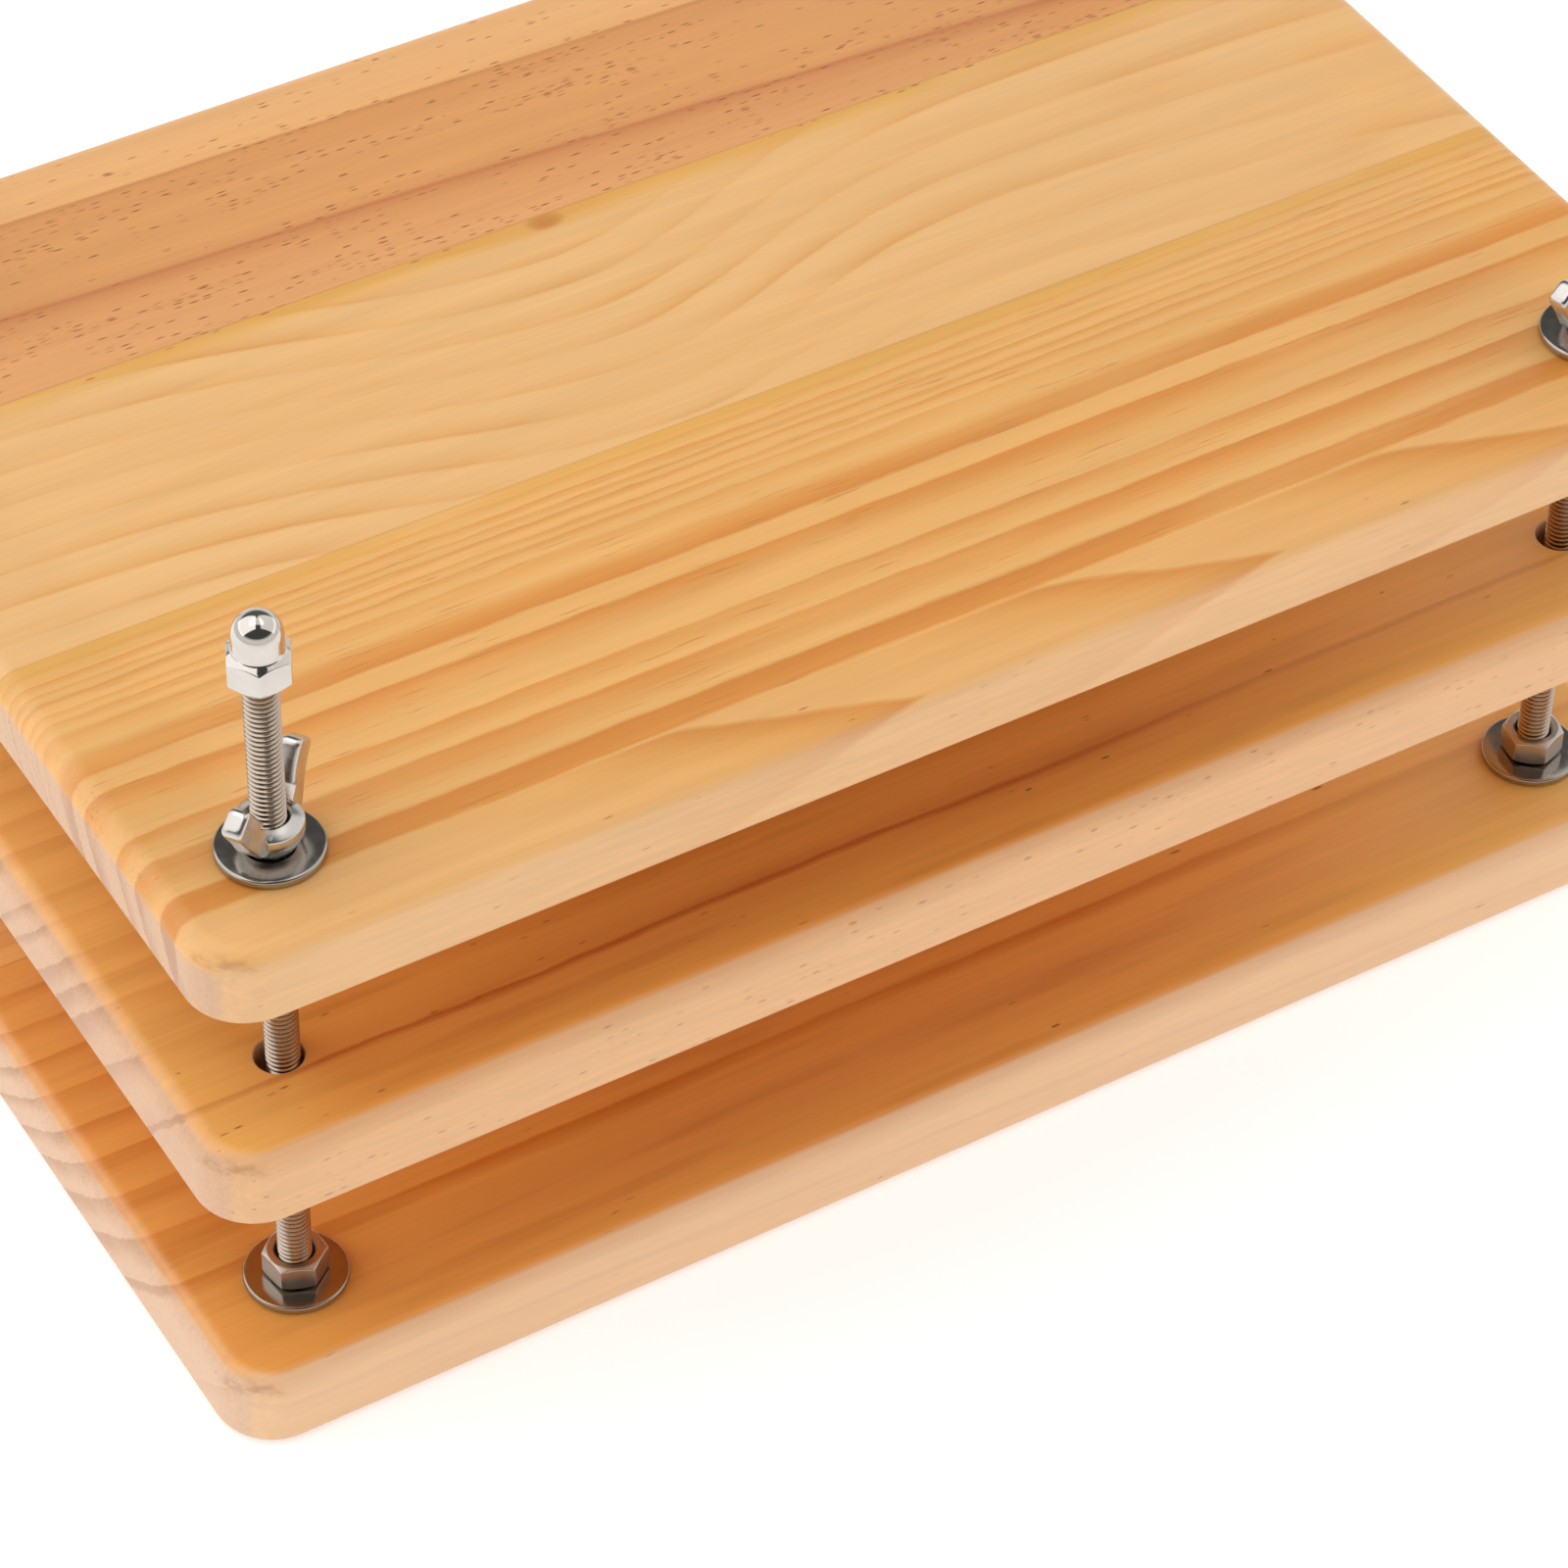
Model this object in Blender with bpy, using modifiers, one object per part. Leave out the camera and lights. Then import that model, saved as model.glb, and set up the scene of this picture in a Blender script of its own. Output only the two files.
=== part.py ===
"""Three-board book press: pine boards guided by four threaded rods and closed by wing nuts.

Units are metres, +Z is up and +X runs along the boards. The origin is the middle of the bottom
board's underside, where the press stands on the bench.
"""

import math

import bmesh
import bpy
from mathutils import Matrix

# Boards: three equal pine boards, with the free heights between them as photographed.
BOARD_LENGTH = 0.300
BOARD_WIDTH = 0.200
BOARD_THICKNESS = 0.015
CORNER_RADIUS = 0.011
UPPER_ROUND = 0.0045
LOWER_ROUND = 0.002
LOWER_OPENING = 0.040
UPPER_OPENING = 0.031

# Rods: one at each corner, set in from the two nearest edges.
ROD_DIAMETER = 0.006
ROD_INSET = 0.021
ROD_CHAMFER = 0.0006
SPARE_THREAD = 0.0355
CAP_ENGAGEMENT = 0.0081

# Fits: the gap between touching pieces, the thread's gap, and the boards' play on the rods.
CONTACT_GAP = 0.0003
THREAD_GAP = 0.0003
BASE_HOLE_GAP = 0.0005
GUIDE_PLAY = 0.0012
MIDDLE_LEAN_HEADING = math.radians(201)

# Washers: wide ones above the boards, small ones in the counterbores below.
WASHER_BAND = 0.0058
WASHER_THICKNESS = 0.0013
FOOT_WASHER_BAND = 0.0027
FOOT_WASHER_THICKNESS = 0.0016
WASHER_EDGE = 0.0002

# Hexagon nuts: the wall is measured from the bore to the flats.
NUT_WALL = 0.0017
NUT_HEIGHT = 0.005
NUT_FACE_SHARE = 0.95
CHAMFER_SLOPE = math.tan(math.radians(30))
COUNTERSINK = 0.0004

# Counterbores under the bottom board, with room for a socket round the nut.
COUNTERBORE_PLAY = 0.0015
FOOT_RECESS = 0.0015

# Cap nuts: a hexagon foot with a round neck and a dome.
CAP_HEX_HEIGHT = 0.0056
CAP_WALL = 0.0009
CAP_NECK = 0.003
CAP_BORE_SPARE = 0.0007

# Wing nuts: a low round hub with two leaning wings.
HUB_WALL = 0.0025
HUB_HEIGHT = 0.006
HUB_RING = 0.0004
HUB_BEVEL_DROP = 0.0008
HUB_FOOT_HEIGHT = 0.003
HUB_FOOT_TAPER = 0.0015
WING_LEAN = math.radians(33)
WING_OVERHANG = 0.005
WING_RISE = 0.0137
WING_WIDTH = 0.005
WING_THICKNESS = 0.0036
WING_EDGE = 0.0006
WING_TIP_ROUND = 0.0014
WING_ROOT_HEIGHT = 0.0031

# Smoothness of the round shapes.
ROUND_STEPS = 20
WASHER_STEPS = 24
CORNER_STEPS = 6
UPPER_STEPS = 4
LOWER_STEPS = 2
DOME_STEPS = 5
TIP_STEPS = 3
MERGE_DISTANCE = 0.00001
SHARP_ANGLE = math.radians(35)

# Corners of the press, each with the way its nuts and wings happen to point.
CORNERS = {
    "front_left": {"side": (-1, -1), "nut": 38, "wing": 36, "cap": 64},
    "front_right": {"side": (1, -1), "nut": 20, "wing": 16, "cap": 12},
    "back_left": {"side": (-1, 1), "nut": 5, "wing": 118, "cap": 31},
    "back_right": {"side": (1, 1), "nut": 47, "wing": 74, "cap": 44},
}

# Sizes that follow from the ones above.
ROD_RADIUS = ROD_DIAMETER / 2
BORE_RADIUS = ROD_RADIUS + THREAD_GAP
NUT_FLAT_RADIUS = BORE_RADIUS + NUT_WALL
NUT_CORNER_RADIUS = NUT_FLAT_RADIUS / math.cos(math.pi / 6)
DOME_RADIUS = BORE_RADIUS + CAP_WALL
HUB_RADIUS = BORE_RADIUS + HUB_WALL
FOOT_WASHER_RADIUS = BORE_RADIUS + FOOT_WASHER_BAND
GUIDE_RADIUS = ROD_RADIUS + GUIDE_PLAY
BASE_HOLE_RADIUS = ROD_RADIUS + BASE_HOLE_GAP
COUNTERBORE_RADIUS = max(FOOT_WASHER_RADIUS, NUT_CORNER_RADIUS) + COUNTERBORE_PLAY
ROD_X = BOARD_LENGTH / 2 - ROD_INSET
ROD_Y = BOARD_WIDTH / 2 - ROD_INSET
MIDDLE_LEAN = GUIDE_PLAY - CONTACT_GAP

# Heights of the stack, from the bench upwards.
FOOT_WASHER_Z = FOOT_RECESS + NUT_HEIGHT + CONTACT_GAP
COUNTERBORE_DEPTH = FOOT_WASHER_Z + FOOT_WASHER_THICKNESS + CONTACT_GAP
BASE_WASHER_Z = BOARD_THICKNESS + CONTACT_GAP
BASE_NUT_Z = BASE_WASHER_Z + WASHER_THICKNESS + CONTACT_GAP
MIDDLE_Z = BOARD_THICKNESS + LOWER_OPENING
TOP_Z = MIDDLE_Z + BOARD_THICKNESS + UPPER_OPENING
TOP_WASHER_Z = TOP_Z + BOARD_THICKNESS + CONTACT_GAP
WING_NUT_Z = TOP_WASHER_Z + WASHER_THICKNESS + CONTACT_GAP
CAP_NUT_Z = WING_NUT_Z + SPARE_THREAD
ROD_TOP_Z = CAP_NUT_Z + CAP_ENGAGEMENT


def clear_scene():
    """Remove every object, so that the press is built in an empty scene."""
    for obj in list(bpy.data.objects):
        bpy.data.objects.remove(obj, do_unlink=True)


def new_collection(name):
    """Add an empty collection to the scene."""
    collection = bpy.data.collections.new(name)
    bpy.context.scene.collection.children.link(collection)
    return collection


def new_finish(name, color, roughness, metallic):
    """Make a plain surface finish from a colour, a roughness and a metallic value."""
    material = bpy.data.materials.new(name)
    material.use_nodes = True
    shader = material.node_tree.nodes["Principled BSDF"]
    shader.inputs["Base Color"].default_value = (*color, 1.0)
    shader.inputs["Roughness"].default_value = roughness
    shader.inputs["Metallic"].default_value = metallic
    material.diffuse_color = (*color, 1.0)
    return material


def new_object(name, mesh, collection):
    """Put a mesh in the scene as a named object."""
    obj = bpy.data.objects.new(name, mesh)
    collection.objects.link(obj)
    return obj


def smooth(mesh):
    """Shade a mesh smooth and keep its real edges crisp."""
    mesh.shade_smooth()
    mesh.set_sharp_from_angle(angle=SHARP_ANGLE)


def tool(obj):
    """Mark an object as a cutting tool, which is no part of the press."""
    obj.hide_render = True
    obj.display_type = "WIRE"
    return obj


def combine(target, other, operation):
    """Add a Boolean modifier that cuts, keeps or joins another object's shape."""
    modifier = target.modifiers.new(other.name, "BOOLEAN")
    modifier.operation = operation
    modifier.solver = "EXACT"
    modifier.object = other


def baked(obj, *tools):
    """Return an object's finished shape as a mesh, and remove the object and its tools."""
    depsgraph = bpy.context.evaluated_depsgraph_get()
    mesh = bpy.data.meshes.new_from_object(obj.evaluated_get(depsgraph))
    mesh.name = obj.name
    smooth(mesh)
    for used in (obj, *tools):
        bpy.data.objects.remove(used, do_unlink=True)
    return mesh


def turned(name, profile, closed=False, steps=ROUND_STEPS):
    """Turn a profile of (radius, height) points, listed downwards on its outer side, about Z."""
    bm = bmesh.new()
    points = [bm.verts.new((radius, 0, height)) for radius, height in profile]
    for first, second in zip(points, points[1:]):
        bm.edges.new((first, second))
    if closed:
        bm.edges.new((points[-1], points[0]))
    mesh = bpy.data.meshes.new(name)
    bm.to_mesh(mesh)
    bm.free()
    obj = new_object(name, mesh, CUTTERS)
    screw = obj.modifiers.new("turn", "SCREW")
    screw.axis = "Z"
    screw.steps = steps
    screw.render_steps = steps
    screw.use_merge_vertices = True
    screw.merge_threshold = MERGE_DISTANCE
    return tool(obj)


def hexagon(name, height):
    """Make a hexagon bar with a corner on +X, standing on Z = 0."""
    bm = bmesh.new()
    bmesh.ops.create_cone(
        bm,
        cap_ends=True,
        segments=6,
        radius1=NUT_CORNER_RADIUS,
        radius2=NUT_CORNER_RADIUS,
        depth=height,
    )
    bmesh.ops.rotate(bm, verts=bm.verts, matrix=Matrix.Rotation(math.pi / 6, 3, "Z"))
    bmesh.ops.translate(bm, verts=bm.verts, vec=(0, 0, height / 2))
    mesh = bpy.data.meshes.new(name)
    bm.to_mesh(mesh)
    bm.free()
    return new_object(name, mesh, CUTTERS)


def chamfer_blank(name, height):
    """Make the turned blank whose cones take the corners off a hexagon bar."""
    face = NUT_FLAT_RADIUS * NUT_FACE_SHARE
    rim = NUT_CORNER_RADIUS + CONTACT_GAP
    drop = (rim - face) * CHAMFER_SLOPE
    profile = [(0, height), (face, height), (rim, height - drop), (rim, drop), (face, 0), (0, 0)]
    return turned(name, profile)


def bore_cutter(name, top, bottom):
    """Make the cutter of a threaded bore, countersunk at its lower mouth and open past it."""
    mouth = BORE_RADIUS + COUNTERSINK
    profile = [(0, top), (BORE_RADIUS, top), (BORE_RADIUS, COUNTERSINK), (mouth, 0)]
    profile += [(mouth, bottom), (0, bottom)]
    return turned(name, profile)


def washer_mesh(name, band, thickness):
    """Turn a flat ring with broken outer edges."""
    outer = BORE_RADIUS + band
    profile = [
        (BORE_RADIUS, thickness),
        (outer - WASHER_EDGE, thickness),
        (outer, thickness - WASHER_EDGE),
        (outer, WASHER_EDGE),
        (outer - WASHER_EDGE, 0),
        (BORE_RADIUS, 0),
    ]
    return baked(turned(name, profile, closed=True, steps=WASHER_STEPS))


def rod_mesh():
    """Turn the rod at its thread's outer diameter, with chamfered ends."""
    end = ROD_RADIUS - ROD_CHAMFER
    profile = [
        (0, ROD_TOP_Z),
        (end, ROD_TOP_Z),
        (ROD_RADIUS, ROD_TOP_Z - ROD_CHAMFER),
        (ROD_RADIUS, FOOT_RECESS + ROD_CHAMFER),
        (end, FOOT_RECESS),
        (0, FOOT_RECESS),
    ]
    return baked(turned("threaded_rod", profile))


def hex_nut_mesh():
    """Chamfer a hexagon bar and bore it right through."""
    nut = hexagon("hex_nut", NUT_HEIGHT)
    blank = chamfer_blank("hex_nut_blank", NUT_HEIGHT)
    bore = bore_cutter("hex_nut_bore", 2 * NUT_HEIGHT, -NUT_HEIGHT)
    combine(nut, blank, "INTERSECT")
    combine(nut, bore, "DIFFERENCE")
    return baked(nut, blank, bore)


def cap_nut_mesh():
    """Join a dome to a chamfered hexagon foot, and bore it blind from below."""
    dome_z = CAP_HEX_HEIGHT + CAP_NECK
    profile = []
    for step in range(DOME_STEPS + 1):
        angle = math.pi / 2 * (1 - step / DOME_STEPS)
        profile.append((DOME_RADIUS * math.cos(angle), dome_z + DOME_RADIUS * math.sin(angle)))
    profile += [(DOME_RADIUS, CAP_HEX_HEIGHT / 2), (0, CAP_HEX_HEIGHT / 2)]
    profile[0] = (0, dome_z + DOME_RADIUS)
    cap = hexagon("cap_nut", CAP_HEX_HEIGHT)
    blank = chamfer_blank("cap_nut_blank", CAP_HEX_HEIGHT)
    dome = turned("cap_nut_dome", profile)
    bore = bore_cutter("cap_nut_bore", CAP_ENGAGEMENT + CAP_BORE_SPARE, -CAP_HEX_HEIGHT)
    combine(cap, blank, "INTERSECT")
    combine(cap, dome, "UNION")
    combine(cap, bore, "DIFFERENCE")
    return baked(cap, blank, dome, bore)


def wing_outline():
    """Give the outline of one wing as (radius, height) points: a leaning bar with a rounded tip."""
    along = (math.sin(WING_LEAN), math.cos(WING_LEAN))
    across = (math.cos(WING_LEAN), -math.sin(WING_LEAN))
    tip = (HUB_RADIUS + WING_OVERHANG, WING_RISE)
    half = WING_WIDTH / 2
    points = []
    for side, start in ((1, 0), (-1, math.pi / 2)):
        for step in range(TIP_STEPS + 1):
            angle = start + math.pi / 2 * step / TIP_STEPS
            sideways = side * (half - WING_TIP_ROUND) + WING_TIP_ROUND * math.cos(angle)
            forward = WING_TIP_ROUND * (math.sin(angle) - 1)
            points.append(
                (
                    tip[0] + across[0] * sideways + along[0] * forward,
                    tip[1] + across[1] * sideways + along[1] * forward,
                )
            )
    root = BORE_RADIUS / 2
    outer = points[0]
    inner = points[-1]
    outer_slide = (outer[1] - WING_ROOT_HEIGHT) / along[1]
    inner_slide = (inner[0] - root) / along[0]
    points.append((root, inner[1] - along[1] * inner_slide))
    points.append((root, WING_ROOT_HEIGHT))
    points.append((outer[0] - along[0] * outer_slide, WING_ROOT_HEIGHT))
    return points


def wing(name, heading):
    """Extrude one wing from its outline with rounded edges, and turn it about the nut's axis."""
    curve = bpy.data.curves.new(name, "CURVE")
    curve.dimensions = "2D"
    curve.fill_mode = "BOTH"
    curve.extrude = WING_THICKNESS / 2 - WING_EDGE
    curve.bevel_depth = WING_EDGE
    curve.bevel_resolution = 1
    curve.offset = -WING_EDGE
    outline = wing_outline()
    spline = curve.splines.new("POLY")
    spline.points.add(len(outline) - 1)
    for point, (radius, height) in zip(spline.points, outline):
        point.co = (radius, height, 0, 1)
    spline.use_cyclic_u = True
    drawn = new_object(name + "_outline", curve, CUTTERS)
    mesh = baked(drawn)
    bm = bmesh.new()
    bm.from_mesh(mesh)
    bmesh.ops.remove_doubles(bm, verts=bm.verts, dist=MERGE_DISTANCE)
    bmesh.ops.rotate(bm, verts=bm.verts, matrix=Matrix.Rotation(math.pi / 2, 3, "X"))
    bmesh.ops.rotate(bm, verts=bm.verts, matrix=Matrix.Rotation(heading, 3, "Z"))
    bmesh.ops.recalc_face_normals(bm, faces=bm.faces)
    bm.to_mesh(mesh)
    bm.free()
    return tool(new_object(name, mesh, CUTTERS))


def wing_nut_mesh():
    """Join two wings to a turned hub and bore it through."""
    foot = HUB_RADIUS - HUB_FOOT_TAPER
    profile = [
        (0, HUB_HEIGHT),
        (BORE_RADIUS + HUB_RING, HUB_HEIGHT),
        (HUB_RADIUS, HUB_HEIGHT - HUB_BEVEL_DROP),
        (HUB_RADIUS, HUB_FOOT_HEIGHT),
        (foot, 0),
        (0, 0),
    ]
    hub = turned("wing_nut", profile)
    wings = [wing("wing_a", 0), wing("wing_b", math.pi)]
    bore = bore_cutter("wing_nut_bore", 2 * WING_RISE, -HUB_HEIGHT)
    for blade in wings:
        combine(hub, blade, "UNION")
    combine(hub, bore, "DIFFERENCE")
    return baked(hub, bore, *wings)


def rim(bm, height):
    """Find the edges that run round a slab at one height."""
    edges = []
    for edge in bm.edges:
        if all(abs(vert.co.z - height) < MERGE_DISTANCE for vert in edge.verts):
            edges.append(edge)
    return edges


def round_edges(bm, edges, radius, steps):
    """Round edges with a circular fillet, limited by the faces beside them."""
    bmesh.ops.bevel(
        bm,
        geom=edges,
        offset=radius,
        offset_type="OFFSET",
        segments=steps,
        profile=0.5,
        affect="EDGES",
        clamp_overlap=True,
    )


def board_mesh(name):
    """Round a slab's upright corners, then its upper rim and its lower rim."""
    bm = bmesh.new()
    bmesh.ops.create_cube(bm, size=1)
    bmesh.ops.scale(bm, verts=bm.verts, vec=(BOARD_LENGTH, BOARD_WIDTH, BOARD_THICKNESS))
    bmesh.ops.translate(bm, verts=bm.verts, vec=(0, 0, BOARD_THICKNESS / 2))
    upright = [edge for edge in bm.edges if edge.verts[0].co.z != edge.verts[1].co.z]
    round_edges(bm, upright, CORNER_RADIUS, CORNER_STEPS)
    round_edges(bm, rim(bm, BOARD_THICKNESS), UPPER_ROUND, UPPER_STEPS)
    round_edges(bm, rim(bm, 0), LOWER_ROUND, LOWER_STEPS)
    mesh = bpy.data.meshes.new(name)
    bm.to_mesh(mesh)
    bm.free()
    smooth(mesh)
    return mesh


def hole_cutter(name, radius, bottom, top):
    """Make one cutter with an upright pin at each rod."""
    bm = bmesh.new()
    for corner in CORNERS.values():
        side_x, side_y = corner["side"]
        centre = Matrix.Translation((side_x * ROD_X, side_y * ROD_Y, (bottom + top) / 2))
        bmesh.ops.create_cone(
            bm,
            cap_ends=True,
            segments=ROUND_STEPS,
            radius1=radius,
            radius2=radius,
            depth=top - bottom,
            matrix=centre,
        )
    mesh = bpy.data.meshes.new(name)
    bm.to_mesh(mesh)
    bm.free()
    return tool(new_object(name, mesh, CUTTERS))


def board(name, location, finish, hole_radius):
    """Place one board and drill its four rod holes."""
    obj = new_object(name, board_mesh(name), PARTS)
    obj.data.materials.append(finish)
    obj.location = location
    drill = hole_cutter(name + "_holes", hole_radius, -BOARD_THICKNESS, 2 * BOARD_THICKNESS)
    drill.parent = obj
    combine(obj, drill, "DIFFERENCE")
    return obj


def build_boards():
    """Build the three boards; the loose middle one leans against its rods as photographed."""
    pine = {
        "bottom": new_finish("pine_bottom", (0.60, 0.33, 0.13), 0.45, 0.0),
        "middle": new_finish("pine_middle", (0.62, 0.35, 0.14), 0.45, 0.0),
        "top": new_finish("pine_top", (0.72, 0.45, 0.20), 0.45, 0.0),
    }
    bottom = board("bottom_board", (0, 0, 0), pine["bottom"], BASE_HOLE_RADIUS)
    floor = -BOARD_THICKNESS
    sink = hole_cutter("bottom_board_counterbores", COUNTERBORE_RADIUS, floor, COUNTERBORE_DEPTH)
    combine(bottom, sink, "DIFFERENCE")
    lean_x = MIDDLE_LEAN * math.cos(MIDDLE_LEAN_HEADING)
    lean_y = MIDDLE_LEAN * math.sin(MIDDLE_LEAN_HEADING)
    board("middle_board", (lean_x, lean_y, MIDDLE_Z), pine["middle"], GUIDE_RADIUS)
    board("top_board", (0, 0, TOP_Z), pine["top"], GUIDE_RADIUS)


def finished(mesh, finish):
    """Give a mesh its finish and return it."""
    mesh.materials.append(finish)
    return mesh


def build_hardware():
    """Thread the washers and nuts on a rod at each corner."""
    washer_steel = new_finish("washer_steel", (0.55, 0.53, 0.50), 0.15, 1.0)
    rod = finished(rod_mesh(), new_finish("rod_steel", (0.60, 0.58, 0.55), 0.35, 1.0))
    wide_washer = washer_mesh("wide_washer", WASHER_BAND, WASHER_THICKNESS)
    washer = finished(wide_washer, washer_steel)
    small_washer = washer_mesh("small_washer", FOOT_WASHER_BAND, FOOT_WASHER_THICKNESS)
    foot_washer = finished(small_washer, washer_steel)
    hex_nut = finished(hex_nut_mesh(), new_finish("nut_steel", (0.58, 0.55, 0.51), 0.25, 1.0))
    wing_nut = finished(wing_nut_mesh(), new_finish("wing_nut_steel", (0.66, 0.62, 0.57), 0.22, 1.0))
    cap_nut = finished(cap_nut_mesh(), new_finish("cap_nut_steel", (0.80, 0.78, 0.75), 0.08, 1.0))
    for corner_name, corner in CORNERS.items():
        side_x, side_y = corner["side"]
        axis = bpy.data.objects.new("rod_axis_" + corner_name, None)
        axis.location = (side_x * ROD_X, side_y * ROD_Y, 0)
        PARTS.objects.link(axis)
        pieces = [
            ("threaded_rod", rod, 0, 0),
            ("foot_nut", hex_nut, FOOT_RECESS, 0),
            ("foot_washer", foot_washer, FOOT_WASHER_Z, 0),
            ("base_washer", washer, BASE_WASHER_Z, 0),
            ("base_nut", hex_nut, BASE_NUT_Z, corner["nut"]),
            ("top_washer", washer, TOP_WASHER_Z, 0),
            ("wing_nut", wing_nut, WING_NUT_Z, corner["wing"]),
            ("cap_nut", cap_nut, CAP_NUT_Z, corner["cap"]),
        ]
        for name, mesh, height, heading in pieces:
            piece = new_object(name + "_" + corner_name, mesh, PARTS)
            piece.parent = axis
            piece.location = (0, 0, height)
            piece.rotation_euler = (0, 0, math.radians(heading))


clear_scene()
PARTS = new_collection("book_press")
CUTTERS = new_collection("book_press_cutters")
build_boards()
build_hardware()
rod_length = ROD_TOP_Z - FOOT_RECESS
press_height = CAP_NUT_Z + CAP_HEX_HEIGHT + CAP_NECK + DOME_RADIUS
print(f"Rod length {rod_length * 1000:.1f} mm, height of the press {press_height * 1000:.1f} mm")
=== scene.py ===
# %% [markdown]
# # A small book press
# Three pine boards slide on four threaded rods, and wing nuts press them together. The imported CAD
# model gives every place and size, and this lesson dresses it: each hard, plain solid is replaced by
# a finer surface that fits the same space, with real threads, rounded edges and grained wood.

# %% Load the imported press
import math
from contextlib import contextmanager

import bmesh
import bpy
import numpy as np
from mathutils import Matrix, Vector


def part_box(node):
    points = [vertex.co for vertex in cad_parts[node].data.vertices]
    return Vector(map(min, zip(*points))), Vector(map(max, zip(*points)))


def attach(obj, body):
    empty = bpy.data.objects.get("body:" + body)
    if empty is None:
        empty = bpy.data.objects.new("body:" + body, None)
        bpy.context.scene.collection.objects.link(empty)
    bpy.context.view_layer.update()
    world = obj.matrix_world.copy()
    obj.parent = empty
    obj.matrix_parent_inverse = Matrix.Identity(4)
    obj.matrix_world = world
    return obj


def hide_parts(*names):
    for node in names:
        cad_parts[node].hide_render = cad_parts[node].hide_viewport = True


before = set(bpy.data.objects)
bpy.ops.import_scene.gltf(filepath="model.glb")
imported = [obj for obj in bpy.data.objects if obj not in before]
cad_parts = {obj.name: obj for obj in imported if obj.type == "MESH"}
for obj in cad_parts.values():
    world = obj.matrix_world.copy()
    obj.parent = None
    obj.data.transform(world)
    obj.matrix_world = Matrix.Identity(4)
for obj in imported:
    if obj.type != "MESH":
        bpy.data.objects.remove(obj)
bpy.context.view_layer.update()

# %% [markdown]
# ## From a grid of numbers to a mesh
# Nearly every piece here is round or runs round something, so its points form a grid: one row per
# step along a section, one column per step round the axis. The columns close on themselves. A mesh
# could also be drawn by hand in edit mode, but a grid keeps every size a named number.

# %% Grid helpers
MM = 0.001
MERGE = 1e-7
SHARP_EDGE = math.radians(38)


def grid_cells(rows, columns, ring=False):
    """Corner numbers of each cell between neighbouring rows and columns; a ring also joins the last
    row to the first."""
    row = np.arange(rows if ring else rows - 1)[:, None]
    column = np.arange(columns)[None, :]
    below = (row + 1) % rows
    right = (column + 1) % columns
    corners = (
        row * columns + column,
        row * columns + right,
        below * columns + right,
        below * columns + column,
    )
    return np.stack(np.broadcast_arrays(*corners), axis=-1).reshape(-1, 4)


def ring_pattern(rows, columns):
    """Where each cell's corners lie in the pattern: u is the share of a turn, v the row's share."""
    v, u = np.meshgrid(np.arange(rows), np.arange(columns), indexing="ij")
    corners = np.stack(
        [np.stack([u + du, v + dv], -1) for du, dv in ((0, 0), (1, 0), (1, 1), (0, 1))], axis=2
    )
    return corners.reshape(-1, 4, 2) / (columns, rows)


def raw_mesh(name, points, cells, pattern=None):
    """Put points, four-cornered cells and their pattern places into a new mesh."""
    mesh = bpy.data.meshes.new(name)
    mesh.vertices.add(len(points))
    mesh.vertices.foreach_set("co", np.asarray(points, np.float32).ravel())
    mesh.loops.add(cells.size)
    mesh.loops.foreach_set("vertex_index", np.asarray(cells, np.int32).ravel())
    mesh.polygons.add(len(cells))
    mesh.polygons.foreach_set("loop_start", np.arange(0, cells.size, 4, dtype=np.int32))
    mesh.update(calc_edges=True)
    if pattern is not None:
        layer = mesh.uv_layers.new(name="pattern")
        layer.data.foreach_set("uv", np.asarray(pattern, np.float32).ravel())
    return mesh


@contextmanager
def opened(mesh):
    """A mesh in its editable form, put back when the work on it is done."""
    bm = bmesh.new()
    bm.from_mesh(mesh)
    yield bm
    bm.to_mesh(mesh)
    bm.free()


def weld(bm):
    """Merge points that meet, drop faces without area, and point every face outwards."""
    bmesh.ops.remove_doubles(bm, verts=bm.verts, dist=MERGE)
    bmesh.ops.dissolve_degenerate(bm, edges=bm.edges, dist=MERGE)
    bmesh.ops.recalc_face_normals(bm, faces=bm.faces)


def closed(mesh, loops_to_fill=()):
    """Fill flat ends, merge the points that meet at poles, and shade smooth between sharp edges."""
    with opened(mesh) as bm:
        for height in loops_to_fill:
            rim = [
                edge for edge in bm.edges
                if edge.is_boundary and all(abs(v.co.z - height) < MERGE for v in edge.verts)
            ]
            bmesh.ops.triangle_fill(bm, edges=rim, use_beauty=True, use_dissolve=False)
        weld(bm)
        open_edges = sum(not edge.is_manifold for edge in bm.edges)
    mesh.shade_smooth()
    mesh.set_sharp_from_angle(angle=SHARP_EDGE)
    if open_edges:
        print("open edges in", mesh.name, open_edges)
    return mesh


def placed(name, data):
    """A new object in the scene."""
    item = bpy.data.objects.new(name, data)
    bpy.context.scene.collection.objects.link(item)
    return item


def add_piece(name, mesh, material, body, node):
    """Show a finished mesh in place of a CAD node, on the body that carries the node."""
    piece = placed(name, mesh)
    mesh.materials.clear()
    mesh.materials.append(material)
    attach(piece, body)
    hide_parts(node)
    return piece


print("grid helpers ready")

# %% [markdown]
# ## Where the rods stand
# The four rods carry everything else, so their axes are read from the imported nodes. The headings say
# how far each nut, wing nut and cap nut happened to be turned when it was tightened; they repeat the
# values of the CAD source, so that the dressed pieces cover the plain ones.

# %% Rod axes and headings
CORNERS = ("front_left", "front_right", "back_left", "back_right")
NUT_HEADING = dict(zip(CORNERS, (38, 20, 5, 47)))
WING_HEADING = dict(zip(CORNERS, (36, 16, 118, 74)))
CAP_HEADING = dict(zip(CORNERS, (64, 12, 31, 44)))


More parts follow.
